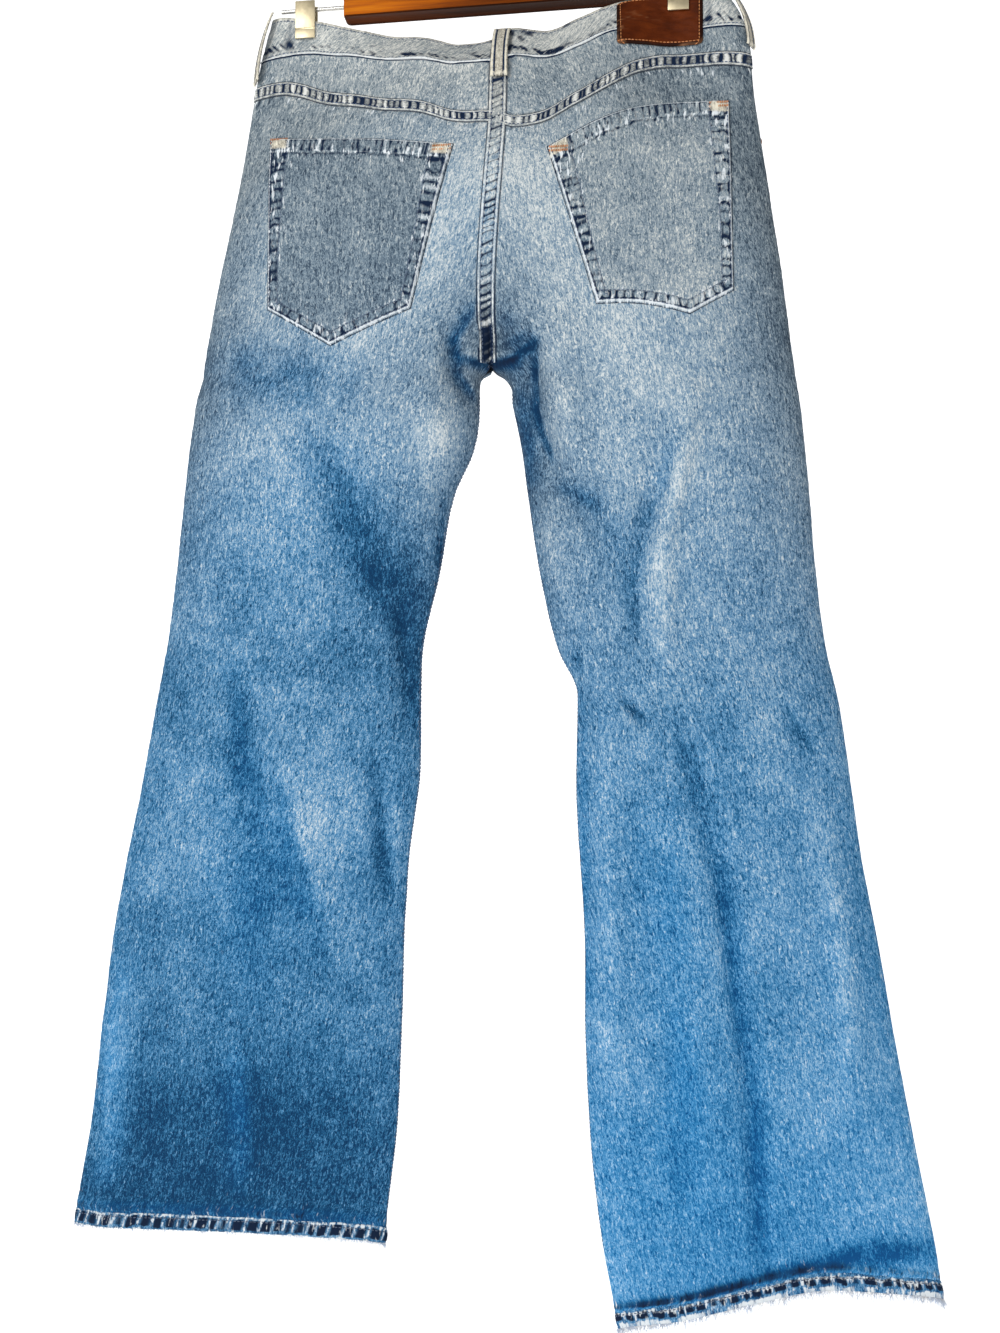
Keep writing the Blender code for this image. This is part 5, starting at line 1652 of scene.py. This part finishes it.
def build_hem(side):
    """Turned and frayed hem: a closed roll all the way round the leg."""
    back = [(BACK, place) for place in np.linspace(0.0, 1.0, 241)]
    front = [(FRONT, place) for place in np.linspace(1.0, 0.0, 241)[1:-1]]
    edge = {place: float(hem_level(side, np.array(place))) for _, place in back}
    height, stand = np.array(HEM_PROFILE).T
    frayed, upper, vivid = HEM_WEAR[side]
    outer, ways = [], []
    for face, place in back + front:
        levels = edge.get(place, float(hem_level(side, np.array(place)))) + height
        places = np.full(len(levels), place)
        outer.append(form(side, face, places, levels))
        ways.append(normals(side, face, places, levels))
    base, outward = np.array(outer), np.array(ways)
    run = np.concatenate([[0.0], np.cumsum(np.linalg.norm(np.diff(base[:, 5], axis=0), axis=1))])
    run, height = run[:, None], height[None, :]
    slant = run + (HEM_HEIGHT - height) * 0.22 + 1.5 * cloud(run, 0.0 * height, 14.0, 154)
    flat_slant = 0 * slant
    ridge = puckers(slant, 9.6, 130 + side)
    fine = puckers(run + flat_slant, 4.0, 140 + side)
    outside = (stand > -0.5)[None, :]
    roped = np.sin(math.pi * np.clip(height / HEM_HEIGHT, 0, 1))
    lift = stand[None, :] + outside * roped * (ridge - 0.5) * 1.3
    lift = lift + 0.25 * cloud(slant, height + flat_slant, 4.0, 150)
    bars = np.clip(0.36 - ridge, 0, 1) * 3.0
    waver = height + 1.1 * cloud(run, flat_slant, 9.0, 152) + 0.6 * cloud(run, flat_slant, 3.0, 153)
    top = peak(waver, 1.0, upper)
    tattered = np.clip(0.7 + 0.8 * cloud(run, flat_slant, 8.0, 155), 0, 1.2)
    low = smooth((frayed - waver) / 1.6) * outside * tattered
    middle = smooth((waver - frayed) / 1.2) * smooth((11.2 - waver) / 1.0) * outside
    fields = {
        "wash": 0.35 + 0.2 * cloud(slant, height + flat_slant, 7.0, 151),
        "grey": 0.15 + 0 * lift, "vivid": vivid + 0 * lift, "drag": 0.6 + 0 * lift,
        "ink": middle * np.clip(ridge * 2.0 - 0.25, 0, 1) * 0.95 + low * np.clip(ridge - 0.7, 0, 1) * 1.5,
        "worn": middle * bars * 0.8 + top * np.clip(0.25 + 0.9 * fine, 0, 1) + low * (0.35 + 0.8 * fine),
    }
    points = base + outward * lift[..., None]
    flat = np.stack([run + 0 * lift, height + 0 * lift], axis=-1)
    points, outward, flat = (closed_ring(part) for part in (points, outward, flat))
    fields = {key: closed_ring(np.broadcast_to(field, lift.shape)) for key, field in fields.items()}
    piece = lay_cloth("hem_roll_" + SIDE_NAME[side], points, outward, flat, fields, 0.0, ("denim",))
    bpy.context.view_layer.objects.active = piece
    piece.select_set(True)
    edit(True)
    bpy.ops.mesh.select_all(action="SELECT")
    bpy.ops.mesh.remove_doubles(threshold=1e-6)
    edit(False)
    piece.select_set(False)
    sewing.row(points[:-1, HEM_STITCHES], outward[:-1, HEM_STITCHES], pitch=3.4)
    settle(piece, "denim_dark", "hem_" + SIDE_NAME[side])
    return piece, points[:-1, HEM_LOWEST], outward[:-1, HEM_LOWEST]


def fray(name, line, outward, seed, longest, count):
    """Short frayed ends of yarn along a worn edge."""
    rng = np.random.default_rng(seed)
    corners, faces = [], []
    for index in rng.integers(0, len(line) - 1, count):
        root = line[index] + (line[index + 1] - line[index]) * rng.uniform(0, 1)
        run = line[index + 1] - line[index]
        run = run / np.linalg.norm(run)
        length = rng.uniform(1.2, longest) * rng.choice((0.5, 0.8, 1.0))
        lean = rng.normal(0, 0.45) * run + rng.normal(0.15, 0.3) * outward[index] + np.array([0.0, 0.0, -1.0])
        lean = lean / np.linalg.norm(lean)
        bend = rng.normal(0, 0.35, 3)
        side = np.cross(lean, outward[index])
        side = side / np.linalg.norm(side)
        front = np.cross(side, lean)
        start = len(corners)
        for step, thick in ((0.0, 0.30), (0.4, 0.26), (0.75, 0.18), (1.0, 0.05)):
            middle = root + lean * length * step + bend * length * step ** 2 * 0.5
            for turn in (0.0, 2.094, 4.189):
                corners.append(middle + thick * (math.cos(turn) * side + math.sin(turn) * front))
        for ring in range(3):
            for turn in range(3):
                a, b = start + ring * 3 + turn, start + ring * 3 + (turn + 1) % 3
                faces.append((a, b, b + 3, a + 3))
        faces.append((start + 2, start + 1, start))
        faces.append((start + 9, start + 10, start + 11))
    return settle(piece_from(name, corners, faces, "white_thread"), "denim_pale")


def sew_on(side, face, across, level):
    """A row of stitches on a panel's cloth."""
    points, outward, _ = panel_surface(side, face, across, level)
    sewing.row(points, outward)


def build_front_sewing():
    """Rows on the legs: the curved fly, the centre seam, the pocket openings and the inseams."""
    turn = np.linspace(0, math.pi / 2, 20)
    fly_x = np.concatenate([np.full(30, FLY_X), FLY_X + FLY_CURVE[0] * (1 - np.cos(turn))])
    fly_z = np.concatenate([np.linspace(FLY_TOP, FLY_TURN, 30), FLY_TURN - FLY_CURVE[1] * np.sin(turn)])
    for offset in (0.0, 6.0):
        x, z = fly_x + offset * 0.8, fly_z + offset * 0.5
        sew_on(LEFT, FRONT, *locate(LEFT, FRONT, np.minimum(x, 0.0), z))
    for side in (LEFT, RIGHT):
        for inset in (1.8, 8.0):
            reach = np.linspace(0.04, math.pi / 2 - 0.03, 60)
            across = (SCOOP_ACROSS + inset / 175.0) * np.sin(reach)
            sew_on(side, FRONT, across, -(SCOOP_DROP + inset) * np.cos(reach))
        if side == LEFT:
            sew_on(side, FRONT, np.full(120, 0.985), np.linspace(-60.0, -250.0, 120))
        for face in (BACK, FRONT):
            sew_on(side, face, np.full(300, 0.975), np.linspace(-280.0, -960.0, 300))
    return sewing.finish("leg_stitches", "slate_thread", "denim_dark")


def edit(action):
    """Turn edit mode on or off."""
    bpy.ops.object.mode_set(mode="EDIT" if action else "OBJECT")


def rounded(piece, width, segments):
    """Bevel a finished block's edges and shade it smooth by angle."""
    bevel = piece.modifiers.new("rounded edges", "BEVEL")
    bevel.width = width * MM
    bevel.segments = segments
    bevel.limit_method = "ANGLE"
    bpy.context.view_layer.objects.active = piece
    bpy.ops.object.modifier_apply(modifier=bevel.name)
    bpy.ops.object.shade_smooth_by_angle(angle=math.radians(40))
    piece.select_set(False)


def block(name, node, finish):
    """Start a block at a solid's size and place, its place kept in its mesh."""
    lo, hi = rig.box(node)
    centre = (np.array(lo) + np.array(hi)) / 2 / MM + HOOK_SEAT
    size = (np.array(hi) - np.array(lo)) / MM
    bpy.ops.mesh.primitive_cube_add(size=1.0, location=tuple(to_row(centre)))
    piece = bpy.context.object
    piece.name = piece.data.name = name
    piece.scale = [length * MM for length in size]
    bpy.ops.object.transform_apply(location=True, rotation=True, scale=True)
    piece.data.materials.append(FINISH[finish])
    return piece, centre, size


def pick_faces(piece, wanted):
    """Select the faces that a test picks."""
    edit(True)
    bpy.ops.mesh.select_mode(type="FACE")
    bpy.ops.mesh.select_all(action="DESELECT")
    edit(False)
    for face in piece.data.polygons:
        face.select = bool(wanted(face))


def build_bar():
    """Varnished bar with softly rounded edges and a shallow groove beneath; its downward faces take a darker copy of
    the wood as painted shade.
    """
    bar, _, _ = block("bar", "hanger_bar", "wood")
    pick_faces(bar, lambda face: face.normal.z < -0.9)
    edit(True)
    bpy.ops.mesh.inset(thickness=3.2 * MM)
    bpy.ops.transform.translate(value=(0, 0, 1.6 * MM))
    edit(False)
    rounded(bar, 2.4, 4)
    # The downward faces take the darker copy: painted shade.
    bar.data.materials.append(FINISH["wood_under"])
    for face in bar.data.polygons:
        if face.normal.z < -0.6:
            face.material_index = 1
    return settle(bar, "wood", "hanger_bar")


def build_jaw(node):
    """Pressed clip plate with a slot above its gripping lip."""
    jaw, centre, size = block(node.replace("clip_jaw", "jaw"), node, "clip")
    away = -1.0 if centre[1] < 0 else 1.0
    lip = centre[2] - size[2] / 2
    outside = centre[1] + away * size[1] / 2
    edit(True)
    for height in SLOT_EDGES:
        bpy.ops.mesh.select_all(action="SELECT")
        bpy.ops.mesh.bisect(plane_co=tuple(to_row(np.array([*centre[:2], lip + height]))), plane_no=(0, 0, 1))
    edit(False)

    def in_slot(face):
        middle = np.array(face.center) / MM + HOOK_SEAT
        return abs(middle[2] - lip - sum(SLOT_EDGES) / 2) < 0.5 and abs(middle[1] - outside) < 0.05

    pick_faces(jaw, in_slot)
    edit(True)
    bpy.ops.mesh.extrude_region_move(TRANSFORM_OT_translate={"value": (0, -away * SLOT_DEPTH * MM, 0)})
    edit(False)
    rounded(jaw, 0.3, 2)
    return settle(jaw, "clip_metal", node)


def lathe(name, centre, normal, rings):
    """Round head raised in steps from a disc: radius and height of each ring."""
    sides = 36
    turn = Vector((0.0, 0.0, 1.0)).rotation_difference(Vector(normal)).to_matrix()
    corners, faces = [], []
    for radius, height in rings:
        for step in range(sides):
            angle = 2 * math.pi * step / sides
            local = Vector((radius * math.cos(angle), radius * math.sin(angle), height))
            corners.append(np.array(centre) + np.array(turn @ local))
    for ring in range(len(rings) - 1):
        for step in range(sides):
            a, b = ring * sides + step, ring * sides + (step + 1) % sides
            faces.append((a, b, b + sides, a + sides))
    faces.append(tuple(range(sides))[::-1])
    faces.append(tuple(range((len(rings) - 1) * sides, len(rings) * sides)))
    return piece_from(name, corners, faces, "copper")


# Radius and height of each ring
BUTTON_RINGS = ((3.0, -0.6), (7.6, -0.5), (8.5, 0.3), (8.5, 1.2), (8.0, 2.0), (7.2, 2.3), (6.2, 2.1),
                (5.4, 1.5), (4.8, 1.4), (4.0, 1.9), (2.6, 2.3), (0.8, 2.4))
RIVET_RINGS = ((2.0, -0.4), (4.2, -0.3), (4.5, 0.3), (4.1, 0.8), (3.2, 0.9), (2.4, 0.6), (1.8, 0.7),
               (1.2, 1.2), (0.4, 1.4))


def build_fasteners():
    """Waist button and the rivets at the ends of the front pocket openings."""
    rows = [("button", "waist_button", RIGHT, 0.985, BAND_HEIGHT * 0.48, BUTTON_RINGS)]
    ends = (("inner", SCOOP_ACROSS + 0.025, -7.0), ("outer", 0.10, -SCOOP_DROP - 8.0))
    for side in (LEFT, RIGHT):
        for place, across, level in ends:
            end = SIDE_NAME[side] + "_" + place
            rows.append(("rivet_head_" + end, "rivet_" + end, side, across, level, RIVET_RINGS))
    for name, node, side, across, level, rings in rows:
        point, normal = form(side, FRONT, across, level), normals(side, FRONT, across, level)
        settle(lathe(name, point + normal * 0.9, normal, rings), "copper", node)


# Solids that stay as they are, and what they are made of
KEPT_SOLIDS = {
    "clip_saddle_left": "clip",
    "clip_saddle_right": "clip",
    "hanger_rod_left": "steel",
    "hanger_rod_right": "steel",
    "hanger_hook": "steel",
}


def build_hanger():
    """Bar, clips, rods and hook."""
    build_bar()
    for node in frame["nodes"]:
        if node.startswith("clip_jaw"):
            build_jaw(node)
    for node, finish in KEPT_SOLIDS.items():
        for material_slot in bpy.data.objects[node].material_slots:
            material_slot.material = FINISH[finish]


def build_studio():
    """Pale sweep and soft lights."""
    bpy.ops.mesh.primitive_grid_add(x_subdivisions=2, y_subdivisions=40, size=1.0)
    sweep = bpy.context.object
    sweep.name = "studio_sweep"
    for vertex in sweep.data.vertices:
        run = (vertex.co.y + 0.5) * SWEEP_LENGTH
        wide = vertex.co.x * SWEEP_WIDTH
        turn = min(max((run - TURN_START) / (TURN_END - TURN_START), 0.0), 1.0) * math.pi / 2
        bend_y, bend_z = SWEEP_FRONT + TURN_START, FLOOR_LEVEL + TURN_RADIUS
        if run < TURN_START:
            vertex.co = (wide, SWEEP_FRONT + run, FLOOR_LEVEL)
        elif run < TURN_END:
            vertex.co = (wide, bend_y + TURN_RADIUS * math.sin(turn), bend_z - TURN_RADIUS * math.cos(turn))
        else:
            vertex.co = (wide, bend_y + TURN_RADIUS, bend_z + run - TURN_END)
    bpy.ops.object.shade_smooth()
    sweep.data.materials.append(back_wall("studio white"))
    sweep.select_set(False)
    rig.stage(sweep)
    world = bpy.context.scene.world or bpy.data.worlds.new("studio")
    bpy.context.scene.world = world
    world.use_nodes = True
    background = world.node_tree.nodes["Background"]
    background.inputs["Color"].default_value = (1.0, 1.0, 1.0, 1.0)
    background.inputs["Strength"].default_value = SKY_STRENGTH
    for name, place, size, power in LAMPS:
        lamp = bpy.data.lights.new(name, "AREA")
        lamp.size = size
        lamp.energy = power
        light = bpy.data.objects.new(name, lamp)
        light.location = place
        aim = Vector(LIT_POINT) - Vector(place)
        light.rotation_euler = aim.to_track_quat("-Z", "Y").to_euler()
        bpy.context.scene.collection.objects.link(light)
    bpy.context.scene.view_settings.view_transform = "Standard"


def place_camera():
    """Camera where the photograph was taken from."""
    right, up, forward = camera_axes()
    lens = bpy.data.cameras.new("camera")
    lens.lens = SENSOR * CAMERA_FOCAL / PHOTO_HEIGHT
    lens.sensor_width = SENSOR
    camera = bpy.data.objects.new("camera", lens)
    turn = Matrix((right, up, -forward)).transposed().to_4x4()
    camera.matrix_world = Matrix.Translation(Vector(CAMERA_PLACE - HOOK_SEAT * MM)) @ turn
    bpy.context.scene.collection.objects.link(camera)
    bpy.context.scene.camera = camera


place_camera()
build_studio()
panels = build_panels()
seams = build_seams()
band, band_thread = build_band()
pockets, pocket_thread, pocket_tacks = build_pockets()
patch, patch_thread = build_patch()
loops, loop_thread = build_loops()
front_thread = build_front_sewing()
build_fasteners()
build_hanger()

CLIPS = ("clip_jaw_back_left", "clip_jaw_back_right")
for node, piece in panels.items():
    settle(piece, "denim_pale" if "yoke" in node or "facing" in node else "denim", node)
frays = {}
for side in (LEFT, RIGHT):
    half = SIDE_NAME[side]
    hem, line, outward = build_hem(side)
    frays[side] = [fray("fray_" + half, line, outward, 160 + side, *FRAY[side])]
    hung(hem, 520, 16, ["front_leg_" + half], frays[side])
    extra = [front_thread, pocket_tacks, pocket_thread] if side == LEFT else []
    hung(panels["back_panel_" + half], 245, 970, ["yoke_cloth_" + half], seams[side] + extra)
    hung(panels["front_panel_" + half], 215, 1000, ["band_cloth"])
    hung(panels["yoke_" + half], 225, 50, ["band_cloth"], area=0.0082)
    hung(panels["pocket_facing_" + half], 130, 95, ["band_cloth"], area=0.0086)
    hung(pockets[side], 160, 170, ["back_leg_" + half])
sewing.finish("hem_stitches", "slate_thread", "denim_dark")
hung(band, 850, 38, CLIPS, [band_thread])
hung(patch, 70, 50, ["band_cloth"], [patch_thread])
for row, loop in zip(BELT_LOOPS, loops):
    hung(loop, 12.4, 58, ["band_cloth"], [loop_thread] if row[0] == "centre_back" else [])

visual_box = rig.bounds()
with open("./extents.json", "w") as sizes:
    json.dump({"solids": [list(corner) for corner in solid_box], "scene": [list(corner) for corner in visual_box]}, sizes)
